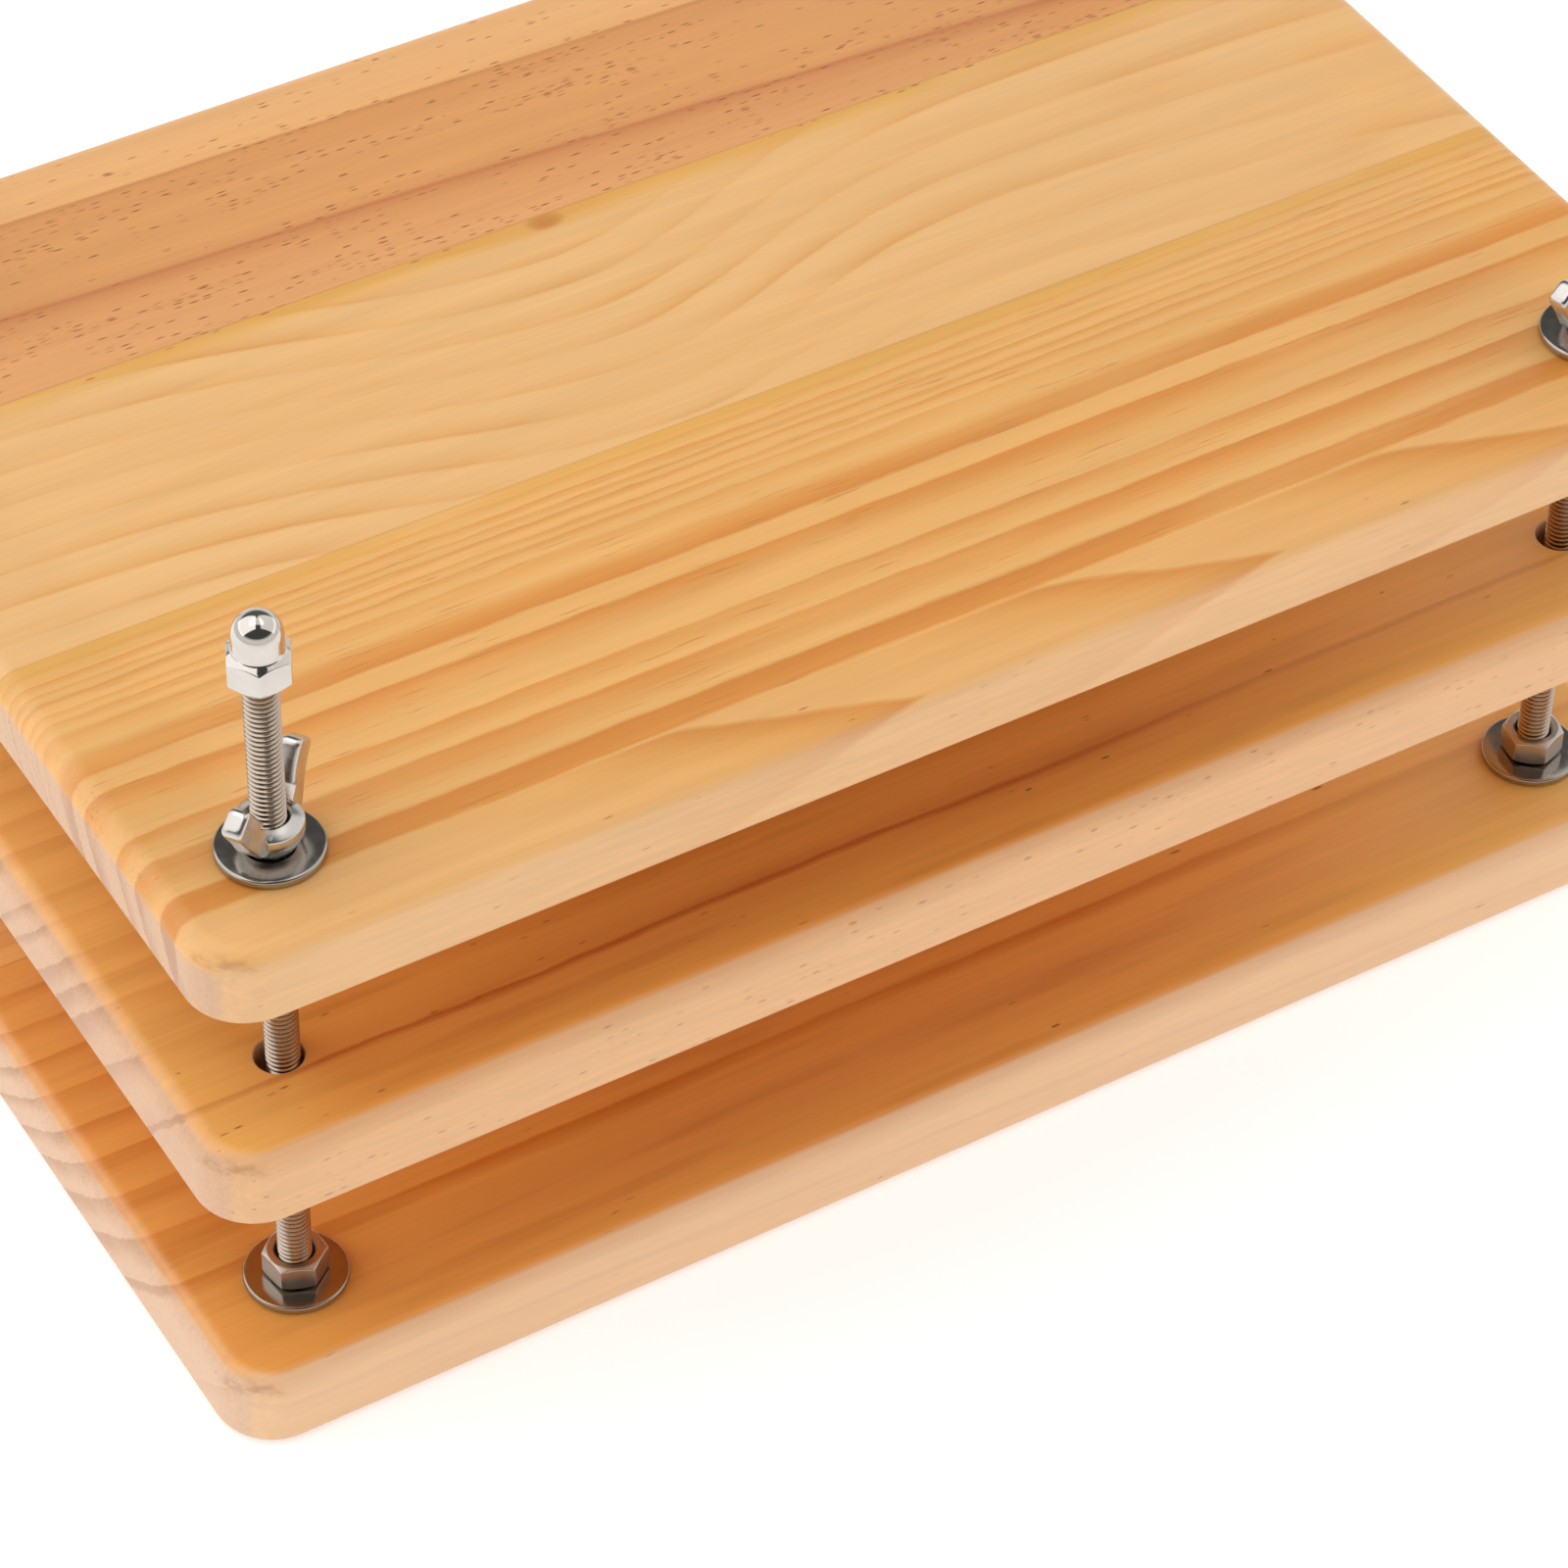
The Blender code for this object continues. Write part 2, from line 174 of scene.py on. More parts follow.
def axis_of(node):
    """The point under the middle of a node, at the height of its lowest face."""
    low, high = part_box(node)
    return np.array([(low.x + high.x) / 2, (low.y + high.y) / 2, low.z])


ROD_AXIS = {corner: axis_of("threaded_rod_" + corner) for corner in CORNERS}
for corner, place in ROD_AXIS.items():
    print(corner, "rod at", np.round(place / MM, 2), "mm")

# %% [markdown]
# ## Surfaces of revolution
# Washers are turned or stamped round, so a profile of radius and height is swung once about the rod.
# The profile runs all the way round the metal, through the bore and back, which closes the ring.

# %% Turned surfaces
ROUND_STEPS = 96
BORE = 3.3 * MM
LOWER_RIM = 0.15 * MM


def quarter(centre, radius, start, steps=6):
    """Points of a quarter circle about centre, from the angle start, turning clockwise, in degrees."""
    turn = np.radians(start - np.linspace(0, 90, steps))
    return np.stack([centre[0] + radius * np.cos(turn), centre[1] + radius * np.sin(turn)], -1)


def swung(profile, place, steps=ROUND_STEPS):
    """Each point at angle a is radius times (cos a, sin a), at the profile's height, moved to place."""
    turn = np.linspace(0, 2 * math.pi, steps, endpoint=False)
    radius, height = profile[:, :1], profile[:, 1:]
    points = np.stack(
        np.broadcast_arrays(radius * np.cos(turn), radius * np.sin(turn), height), axis=-1
    )
    return points.reshape(-1, 3) + place


def washer_profile(outer, thickness, upper_rim):
    """Section of a stamped washer: a rolled upper rim, a crisper lower rim and eased bore edges."""
    return np.concatenate([
        quarter((outer - upper_rim, thickness - upper_rim), upper_rim, 90),
        quarter((outer - LOWER_RIM, LOWER_RIM), LOWER_RIM, 0, 4),
        quarter((BORE + LOWER_RIM, LOWER_RIM), LOWER_RIM, 270, 4),
        quarter((BORE + LOWER_RIM, thickness - LOWER_RIM), LOWER_RIM, 180, 4),
    ])


def washer_mesh(name, node, upper_rim):
    """A washer that fills its CAD node's box."""
    low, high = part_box(node)
    profile = washer_profile((high.x - low.x) / 2, high.z - low.z, upper_rim)
    points = swung(profile, axis_of(node))
    cells = grid_cells(len(profile), ROUND_STEPS, ring=True)
    pattern = ring_pattern(len(profile), ROUND_STEPS)
    return closed(raw_mesh(name, points, cells, pattern))


print("washer bore", BORE / MM, "mm,", ROUND_STEPS, "columns")

# %% [markdown]
# ## Hexagon nuts
# A nut is a hexagonal bar whose ends were turned to a cone. At each angle and height the metal ends
# where the first of the two surfaces is met, so the radius is the smaller one of the turned blank and
# the hexagon. A soft minimum rounds the meeting edges as polishing does. Columns crowd near the six
# corners, where the shape bends fastest.

# %% Hexagon surfaces
HEX_COLUMNS = 24
CORNER_SHARPNESS = 70
EDGE_EASE = 0.10 * MM
CHAMFER = math.tan(math.radians(30))
COUNTERSINK = 0.4 * MM
MOUTH = BORE + COUNTERSINK
HALF_FLATS = 5 * MM
FACE = 0.95 * HALF_FLATS
OUTSIDE = HALF_FLATS / math.cos(math.pi / 6) + 2 * EDGE_EASE
CHAMFER_DROP = (OUTSIDE - FACE) * CHAMFER


def hexagon_turns():
    """Angles round a nut: each sixth of a turn is swept as a sine, slow at both of its corners."""
    share = np.sin(np.linspace(-math.pi / 2, math.pi / 2, HEX_COLUMNS, endpoint=False))
    sector = np.arange(6)[:, None] * math.pi / 3 + math.pi / 6
    return (sector + share * math.pi / 6).ravel()


def hexagon_radius(turn):
    """Half the width over flats, over the norm of the cosines to the six faces: soft corners."""
    faces = np.arange(6)[:, None] * math.pi / 3 + math.pi / 6
    toward = np.clip(np.cos(turn[None, :] - faces), 0, None)
    return HALF_FLATS / (toward ** CORNER_SHARPNESS).sum(0) ** (1 / CORNER_SHARPNESS)


def soft_minimum(a, b, ease):
    """The smaller value, rounded off over the distance ease where the two are nearly equal."""
    near = np.clip(1 - np.abs(a - b) / ease, 0, None)
    return np.minimum(a, b) - near * near * ease / 4


def hexed_mesh(name, profile, heading, place, ring=False):
    """Cut a turned profile to a hexagon: the radius is the soft minimum of both, at every angle."""
    turn = hexagon_turns()
    radius = soft_minimum(profile[:, :1], hexagon_radius(turn)[None, :], EDGE_EASE)
    angle = turn + math.radians(heading)
    points = np.stack(
        np.broadcast_arrays(radius * np.cos(angle), radius * np.sin(angle), profile[:, 1:]), axis=-1
    )
    cells = grid_cells(len(profile), len(turn), ring)
    return closed(raw_mesh(name, points.reshape(-1, 3) + place, cells))


def line(start, end, steps):
    """Evenly spaced points from start up to, and without, end."""
    return np.linspace(start, end, steps, endpoint=False)


def nut_profile(height):
    """Blank of a nut: bore, countersinks, flat ends, cone chamfers, an outside past the hexagon."""
    return np.concatenate([
        line((BORE, COUNTERSINK), (BORE, height - COUNTERSINK), 2),
        line((BORE, height - COUNTERSINK), (MOUTH, height), 3),
        line((MOUTH, height), (FACE, height), 3),
        line((FACE, height), (OUTSIDE, height - CHAMFER_DROP), 10),
        line((OUTSIDE, height - CHAMFER_DROP), (OUTSIDE, CHAMFER_DROP), 8),
        line((OUTSIDE, CHAMFER_DROP), (FACE, 0), 10),
        line((FACE, 0), (MOUTH, 0), 3),
        line((MOUTH, 0), (BORE, COUNTERSINK), 3),
    ])


def nut_mesh(name, node, heading):
    """A nut that fills its CAD node's height."""
    low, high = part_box(node)
    return hexed_mesh(name, nut_profile(high.z - low.z), heading, axis_of(node), ring=True)


print("hexagon of", 6 * HEX_COLUMNS, "columns")

# %% [markdown]
# ## Cap nuts
# A cap nut is a short nut with a neck and a dome drawn over the end of the rod. The same two surfaces
# make it: the turned blank now goes on from the chamfer up the neck and over a half sphere.

# %% Cap nut surface
CAP_HEX_HEIGHT = 5.6 * MM
CAP_NECK = 3.0 * MM
CAP_DOME = 4.2 * MM
CAP_FILLET = 0.15 * MM
CAP_GROOVE = 0.2 * MM
CAP_BORE_DEPTH = 8.8 * MM


def dome(base, radius, steps):
    """Quarter of a circle from the neck's rim up to the pole, closed there at radius zero."""
    rise = np.linspace(0, math.pi / 2, steps)
    return np.stack([radius * np.cos(rise), base + radius * np.sin(rise)], -1)


def cap_profile():
    """Blank of a cap nut, from the blind bore's end round the hexagon to the top of the dome."""
    drill = CAP_BORE_DEPTH - BORE * CHAMFER
    shoulder = CAP_HEX_HEIGHT - (OUTSIDE - CAP_DOME) * CHAMFER
    foot = CAP_DOME + CAP_FILLET
    neck = CAP_HEX_HEIGHT + CAP_GROOVE
    return np.concatenate([
        line((0, CAP_BORE_DEPTH), (BORE, drill), 3),
        line((BORE, drill), (BORE, COUNTERSINK), 3),
        line((BORE, COUNTERSINK), (MOUTH, 0), 3),
        line((MOUTH, 0), (FACE, 0), 3),
        line((FACE, 0), (OUTSIDE, CHAMFER_DROP), 10),
        line((OUTSIDE, CHAMFER_DROP), (OUTSIDE, shoulder), 8),
        line((OUTSIDE, shoulder), (foot, CAP_HEX_HEIGHT), 14),
        line((foot, CAP_HEX_HEIGHT), (CAP_DOME, neck), 3),
        line((CAP_DOME, neck), (CAP_DOME, CAP_HEX_HEIGHT + CAP_NECK), 4),
        dome(CAP_HEX_HEIGHT + CAP_NECK, CAP_DOME, 24),
    ])


def cap_mesh(name, node, heading):
    """A cap nut on its CAD node's place."""
    return hexed_mesh(name, cap_profile(), heading, axis_of(node))


print("cap nut height", round(cap_profile()[-1, 1] / MM, 2), "mm")

# %% [markdown]
# ## Threaded rods
# A rolled thread is one groove wound round a rod, a millimetre further up with every turn. Rows of a
# grid that climb with the angle follow that groove exactly, so six rows per turn are enough. A picture
# of a thread in the bump channel would be cheaper, but its outline would stay smooth.

# %% Thread surface
PITCH = 1.0 * MM
CREST = 2.97 * MM
ROOT = 2.43 * MM
THREAD_COLUMNS = 28
GROOVE_SHARE = np.array([0.00, 0.125, 0.25, 0.56, 0.62, 0.68])
GROOVE_DEPTH = np.array([0.96, 1.00, 0.96, 0.03, 0.00, 0.03])
END_CHAMFER = 0.6 * MM


def thread_points(length):
    """Row r, column c: angle a is c of a turn, height is the row's share of the pitch plus a over a
    turn times the pitch, radius is the groove's. Past an end, points stop on its chamfered rim. The
    pattern map holds the share of the turn and the depth of the groove."""
    turns = math.ceil(length / PITCH) + 2
    share = (np.arange(turns)[:, None] + GROOVE_SHARE[None, :]).ravel()[:, None] - 1.5
    column = np.arange(THREAD_COLUMNS)[None, :]
    height = (share + column / THREAD_COLUMNS) * PITCH
    radius = np.tile(CREST - GROOVE_DEPTH * (CREST - ROOT), turns)[:, None]
    from_end = np.minimum(height, length - height)
    radius = np.minimum(radius, CREST - END_CHAMFER + np.clip(from_end, 0, None))
    height = np.clip(height, 0, length)
    angle = column * 2 * math.pi / THREAD_COLUMNS
    points = np.broadcast_arrays(radius * np.cos(angle), radius * np.sin(angle), height)
    groove = np.broadcast_arrays(column / THREAD_COLUMNS, np.tile(GROOVE_DEPTH, turns)[:, None])
    return np.stack(points, axis=-1), np.stack(groove, axis=-1), len(share)


def thread_cells(rows):
    """Like a plain grid, but the last column meets the first one a whole turn higher up."""
    step = len(GROOVE_SHARE)
    row, column = np.meshgrid(np.arange(rows - 1 - step), np.arange(THREAD_COLUMNS), indexing="ij")
    last = column == THREAD_COLUMNS - 1
    right = np.where(last, 0, column + 1)
    climb = np.where(last, step, 0)
    corners = (
        row * THREAD_COLUMNS + column,
        (row + climb) * THREAD_COLUMNS + right,
        (row + climb + 1) * THREAD_COLUMNS + right,
        (row + 1) * THREAD_COLUMNS + column,
    )
    return np.stack(corners, axis=-1).reshape(-1, 4)


def rod_mesh(name, node):
    """A threaded rod as long as its CAD node, with flat, chamfered ends."""
    low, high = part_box(node)
    points, groove, rows = thread_points(high.z - low.z)
    cells = thread_cells(rows)
    pattern = groove.reshape(-1, 2)[cells.ravel()]
    mesh = raw_mesh(name, points.reshape(-1, 3) + axis_of(node), cells, pattern)
    with opened(mesh) as bm:
        bmesh.ops.remove_doubles(bm, verts=bm.verts, dist=MERGE)
        loose = [v for v in bm.verts if not v.link_faces]
        bmesh.ops.delete(bm, geom=loose, context="VERTS")
    return closed(mesh, loops_to_fill=(low.z, high.z))


print("thread rows per rod:", thread_points(160 * MM)[2])

# %% [markdown]
# ## Wing nuts
# The wing nut is one casting: a low round hub with a bevelled top, and two flat wings that lean
# outwards so that fingers get under them. The hub is swung like a washer. A wing is a rounded bar: its
# section is carried down from the tip along the leaning line, shrinks at the tip and grows thicker
# where it runs into the hub. A Boolean joins the three and bores the hub, as the casting and the
# drill did.

# %% Wing nut surface
HUB_HEIGHT = 6.0 * MM
WING_LEAN = math.radians(33)
WING_TIP = np.array((10.8, 13.7)) * MM
WING_WIDTH = 5.0 * MM
WING_THICKNESS = 3.6 * MM
WING_EDGE = 0.8 * MM
WING_TIP_ROUND = 1.4 * MM
WING_ROOT_HEIGHT = 3.1 * MM
WING_LENGTH = 13.2 * MM
WING_FLARE = 0.45
FLARE_START = 3.5 * MM
FLARE_LENGTH = 8.5 * MM
TIP_EASE = 0.1 * MM
ARC_STEPS = 6
BORE_STEPS = 64
DRILL_BELOW = 1 * MM
DRILL_ABOVE = 3 * MM


def hub_profile():
    """Section of the hub: a tapered foot, a straight collar, and a bevel up to a narrow ring."""
    return np.array([
        (0, 0), (4.25, 0), (4.4, 0.15), (5.68, 2.75), (5.8, 3.1), (5.8, 4.85), (5.76, 5.05),
        (5.62, 5.22), (3.85, 5.92), (3.6, 6.0), (0, 6.0),
    ]) * MM


def rounded_end(reach, half, radius):
    """Half width of a bar at the distance reach from its end, whose corners are quarter circles."""
    inside = radius - np.minimum(reach, radius)
    return half - radius + np.sqrt(radius ** 2 - inside ** 2)


def corner_turns(steps):
    """Angles of the four quarter circles of a rounded rectangle, and the signs of their centres."""
    turn = np.radians(np.linspace(0, 90, steps)[None, :] + np.arange(4)[:, None] * 90).ravel()
    return turn, np.repeat(np.array([(1, 1), (-1, 1), (-1, -1), (1, -1)]), steps, axis=0)


def bar_section(half_width, half_thickness, radius):
    """Rectangle with round corners: a corner's centre, plus the radius towards each angle."""
    turn, sign = corner_turns(ARC_STEPS)
    wide = sign[:, 0] * (half_width - radius)[:, None] + radius * np.cos(turn)
    thick = sign[:, 1] * (half_thickness - radius)[:, None] + radius * np.sin(turn)
    return wide, thick


def wing_mesh(name, heading):
    """Rows go down from the tip, columns go round the bar's section, turned to the heading."""
    tip_rows = WING_TIP_ROUND * (1 - np.cos(np.radians(np.linspace(0, 90, 9))))
    reach = np.concatenate([(0,), tip_rows, np.linspace(WING_TIP_ROUND, WING_LENGTH, 16)[1:]])
    near_hub = np.clip((reach - FLARE_START) / FLARE_LENGTH, 0, 1)
    flare = 1 + WING_FLARE * near_hub ** 2 * (3 - 2 * near_hub)
    half_width = rounded_end(reach, WING_WIDTH / 2, WING_TIP_ROUND)
    half_thickness = rounded_end(reach, WING_THICKNESS / 2, WING_EDGE) * flare
    half_width[0] -= TIP_EASE
    half_thickness[0] -= TIP_EASE
    wide, thick = bar_section(half_width, half_thickness, WING_EDGE)
    radius = WING_TIP[0] + wide * math.cos(WING_LEAN) - reach[:, None] * math.sin(WING_LEAN)
    height = WING_TIP[1] - wide * math.sin(WING_LEAN) - reach[:, None] * math.cos(WING_LEAN)
    height = np.maximum(height, WING_ROOT_HEIGHT)
    radius = np.maximum(radius, MOUTH)
    cos, sin = math.cos(heading), math.sin(heading)
    points = np.stack([radius * cos - thick * sin, radius * sin + thick * cos, height], axis=-1)
    mesh = raw_mesh(name, points.reshape(-1, 3), grid_cells(*radius.shape))
    with opened(mesh) as bm:
        bmesh.ops.holes_fill(bm, edges=[edge for edge in bm.edges if edge.is_boundary])
        weld(bm)
    return mesh


def joined(base, tools):
    """Run a chain of exact Booleans on a base mesh and give back the finished mesh."""
    body = placed("casting", base)
    helpers = []
    for mesh, operation in tools:
        helper = placed("tool", mesh)
        helpers.append(helper)
        step = body.modifiers.new("step", "BOOLEAN")
        step.operation = operation
        step.solver = "EXACT"
        step.object = helper
    graph = bpy.context.evaluated_depsgraph_get()
    result = bpy.data.meshes.new_from_object(body.evaluated_get(graph))
    for helper in [body, *helpers]:
        bpy.data.objects.remove(helper)
    return result


def wing_nut_casting():
    """One wing nut with its axis at the origin and its wings along X."""
    profile = hub_profile()
    hub = closed(raw_mesh(
        "hub", swung(profile, np.zeros(3)), grid_cells(len(profile), ROUND_STEPS)
    ))
    drill = np.array([
        (0, -DRILL_BELOW), (MOUTH + DRILL_BELOW, -DRILL_BELOW), (BORE, COUNTERSINK),
        (BORE, HUB_HEIGHT - COUNTERSINK), (MOUTH + DRILL_ABOVE, HUB_HEIGHT + DRILL_ABOVE),
        (0, HUB_HEIGHT + DRILL_ABOVE),
    ])
    bore = closed(raw_mesh(
        "bore", swung(drill, np.zeros(3), BORE_STEPS), grid_cells(len(drill), BORE_STEPS)
    ))
    wings = [(wing_mesh("wing", turn), "UNION") for turn in (0, math.pi)]
    return joined(hub, [*wings, (bore, "DIFFERENCE")])


CASTING = wing_nut_casting()
print("wing nut casting:", len(CASTING.polygons), "faces")


def wing_nut_mesh(name, node, heading):
    """A copy of the casting, turned to its heading and set on its rod."""
    corner = node.removeprefix("wing_nut_")
    place = ROD_AXIS[corner].copy()
    place[2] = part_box(node)[0].z
    mesh = CASTING.copy()
    mesh.name = name
    mesh.transform(Matrix.Translation(Vector(place)) @ Matrix.Rotation(math.radians(heading), 4, "Z"))
    return closed(mesh)


# %% [markdown]
# ## Boards
# A board is glued up from three staves, cut to a rounded rectangle, drilled, and run along a router
# that rounds its upper edge well and its lower edge a little. Its rim is a grid: the columns follow
# the rounded rectangle, and the rows follow the router's section, drawn in towards the middle. Each
# hole is a turned surface. The flat faces between rim and holes are filled at the end.

# %% Board surface
CORNER_RADIUS = 11 * MM
UPPER_ROUND = 4.5 * MM
LOWER_ROUND = 2.0 * MM
CORNER_STEPS = 20
HOLE_STEPS = 48
HOLE_EASE = 0.35 * MM
SUNK_DEPTH = 8.7 * MM
SUNK_RADIUS = 7.5 * MM


def rim_profile(low, high):
    """How far the rim is drawn in, and its height: upper round, straight side, lower round."""
    upper = np.radians(np.linspace(90, 0, 14))
    lower = np.radians(np.linspace(0, -90, 8))
    inset = np.concatenate([UPPER_ROUND * (1 - np.cos(upper)), LOWER_ROUND * (1 - np.cos(lower))])
    height = np.concatenate([
        high - UPPER_ROUND * (1 - np.sin(upper)),
        low + LOWER_ROUND * (1 + np.sin(lower)),
    ])
    return inset, height


def rim_points(low, high):
    """Corner centres stay put, and each corner's arc has the corner radius less the inset."""
    inset, height = rim_profile(low.z, high.z)
    turn, sign = corner_turns(CORNER_STEPS)
    middle = np.array([low.x + high.x, low.y + high.y]) / 2
    reach = np.array([high.x - low.x, high.y - low.y]) / 2 - CORNER_RADIUS
    centre = middle + sign * reach
    radius = (CORNER_RADIUS - inset)[:, None]
    return np.stack(np.broadcast_arrays(
        centre[:, 0] + radius * np.cos(turn), centre[:, 1] + radius * np.sin(turn), height[:, None]
    ), axis=-1)


def hole_top(high, radius):
    """Sanded upper edge of a hole."""
    return quarter((radius + HOLE_EASE, high - HOLE_EASE), HOLE_EASE, 180, 4)[::-1]


def hole_foot(low, radius):
    """Sanded lower edge of a hole."""
    return quarter((radius + HOLE_EASE, low + HOLE_EASE), HOLE_EASE, 270, 4)[::-1]


def guide_hole(low, high, radius):
    """Section of a drilled hole, from the upper face to the lower one."""
    return np.concatenate([hole_top(high, radius), hole_foot(low, radius)])


def sunk_hole(low, high, radius):
    """A drilled hole that opens into a wider, flat counterbore for the foot nut."""
    ledge = [(radius, low + SUNK_DEPTH), (SUNK_RADIUS, low + SUNK_DEPTH)]
    return np.concatenate([hole_top(high, radius), ledge, hole_foot(low, SUNK_RADIUS)])


def board_mesh(name, node, hole, radius, lean):
    """Rim and holes as grids in one mesh, with both flat faces filled between them. Lean is how far
    the board hangs off the rods' pattern."""
    low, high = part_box(node)
    rim = rim_points(low, high)
    points = [rim.reshape(-1, 3)]
    cells = [grid_cells(rim.shape[0], rim.shape[1])]
    section = hole(low.z, high.z, radius)
    for axis in ROD_AXIS.values():
        place = np.array([axis[0] + lean[0], axis[1] + lean[1], 0])
        cells.append(grid_cells(len(section), HOLE_STEPS) + sum(len(p) for p in points))
        points.append(swung(section, place, HOLE_STEPS))
    mesh = raw_mesh(name, np.concatenate(points), np.concatenate(cells))
    return closed(mesh, loops_to_fill=(low.z, high.z))


print("board rim:", rim_points(*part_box("top_board")).shape[:2], "rows and columns")

# %% [markdown]
# ## Writing a finish
# A material is a small chain of nodes. The class below adds one node per call and gives back its
# output, so a recipe reads from top to bottom like a set of sums. Whatever is the same all over a
# piece is set straight on the shader.

# %% Node helpers


def tone(code):
    """Linear colour of a six-digit screen colour."""
    channels = np.array([int(code[i:i + 2], 16) for i in (0, 2, 4)]) / 255
    linear = np.where(channels > 0.04045, ((channels + 0.055) / 1.055) ** 2.4, channels / 12.92)
    return (*linear.tolist(), 1.0)


def toned(stops):
    """Stops of (place, screen colour), with their linear colours."""
    return [(place, tone(code)) for place, code in stops]


class Nodes:
    """The nodes of a material or a world, written as sums."""

    def __init__(self, holder):
        holder.use_nodes = True
        self.tree = holder.node_tree
        self.tree.nodes.clear()

    def node(self, kind, **settings):
        """Add a node and set its own options."""
        node = self.tree.nodes.new(kind)
        for key, value in settings.items():
            setattr(node, key, value)
        return node

    def feed(self, socket, value):
        """Link an output to a socket, or set the socket to a plain value."""
        if isinstance(value, bpy.types.NodeSocket):
            self.tree.links.new(value, socket)
        else:
            socket.default_value = value

    def fed(self, node, *values):
        """Feed a node's sockets in their order."""
        for socket, value in zip(node.inputs, values):
            self.feed(socket, value)
        return node

    def sum(self, operation, *values):
        """One arithmetic step."""
        return self.fed(self.node("ShaderNodeMath", operation=operation), *values).outputs[0]

    def times(self, first, *values):
        """Product of values."""
        for value in values:
            first = self.sum("MULTIPLY", first, value)
        return first

    def total(self, first, *values):
        """Sum of values."""
        for value in values:
            first = self.sum("ADD", first, value)
        return first

    def minus(self, first, second):
        """What the second value leaves of the first."""
        return self.sum("SUBTRACT", first, second)

    def coords(self, kind):
        """A place or a direction to start from."""
        return self.node("ShaderNodeTexCoord").outputs[kind]

    def stretch(self, vector, scale):
        """Scale a vector axis by axis."""
        node = self.node("ShaderNodeVectorMath", operation="MULTIPLY")
        return self.fed(node, vector, scale).outputs[0]

    def parts(self, vector):
        """The three parts of a vector."""
        return self.fed(self.node("ShaderNodeSeparateXYZ"), vector).outputs

    def noise(self, vector, detail=2.0, roughness=0.5):
        """Smooth noise from about 0 to 1, one wave per unit of the vector."""
        node = self.node("ShaderNodeTexNoise")
        sockets = {"Vector": vector, "Scale": 1.0, "Detail": detail, "Roughness": roughness}
        for socket, value in sockets.items():
            self.feed(node.inputs[socket], value)
        return node.outputs[0]

    def step(self, value, start, end, low=0.0, high=1.0):
        """Rise smoothly from low to high while value goes from start to end."""
        node = self.node("ShaderNodeMapRange", interpolation_type="SMOOTHSTEP")
        return self.fed(node, value, start, end, low, high).outputs[0]

    def ramp(self, value, stops):
        """Look a value up in a list of (place, colour) stops."""
        node = self.node("ShaderNodeValToRGB")
        ramp = node.color_ramp
        ramp.elements[0].position, ramp.elements[0].color = stops[0]
        ramp.elements[1].position, ramp.elements[1].color = stops[-1]
        for place, colour in stops[1:-1]:
            ramp.elements.new(place).color = colour
        return self.fed(node, value).outputs[0]

    def mix(self, share, first, second, kind="MIX"):
        """Blend two colours."""
        node = self.node("ShaderNodeMix", data_type="RGBA", blend_type=kind)
        for socket, value in zip((0, 6, 7), (share, first, second)):
            self.feed(node.inputs[socket], value)
        return node.outputs[2]

    def stain(self, share, colour, code):
        """Blend a share of a screen colour into a colour."""
        return self.mix(share, colour, tone(code))

    def shaded(self, colour, shade):
        """A colour made darker or lighter by a factor."""
        grey = self.fed(self.node("ShaderNodeCombineXYZ"), shade, shade, shade)
        return self.mix(1.0, colour, grey.outputs[0], "MULTIPLY")


class Finish(Nodes):
    """A material under construction, with one shader for the whole surface."""

    def __init__(self, name, **sockets):
        self.material = bpy.data.materials.new(name)
        super().__init__(self.material)
        self.shader = self.node("ShaderNodeBsdfPrincipled")
        self.fed(self.node("ShaderNodeOutputMaterial"), self.shader.outputs["BSDF"])
        for socket, value in sockets.items():
            self.set(socket.replace("_", " "), value)

    def set(self, socket, value):
        """Feed one of the shader's sockets."""
        self.feed(self.shader.inputs[socket], value)

    def bump(self, height, distance, strength=1.0):
        """Tilt the surface by a height field."""
        node = self.node("ShaderNodeBump")
        for socket, value in {"Distance": distance, "Strength": strength, "Height": height}.items():
            self.feed(node.inputs[socket], value)
        self.set("Normal", node.outputs[0])


print("finish helpers ready")

# %% [markdown]
# ## Pine
# A stave shows the growth rings of its log as stripes: pale wood of early summer darkens towards a
# thin line of late wood, and starts again. How a stave was cut decides whether the stripes run
# straight, sweep round a knot or lie far apart. The recipes below work on x, y and depth in
# millimetres, so the same rings that run along the top also go down the sides and across the ends.

# %% Wood helpers


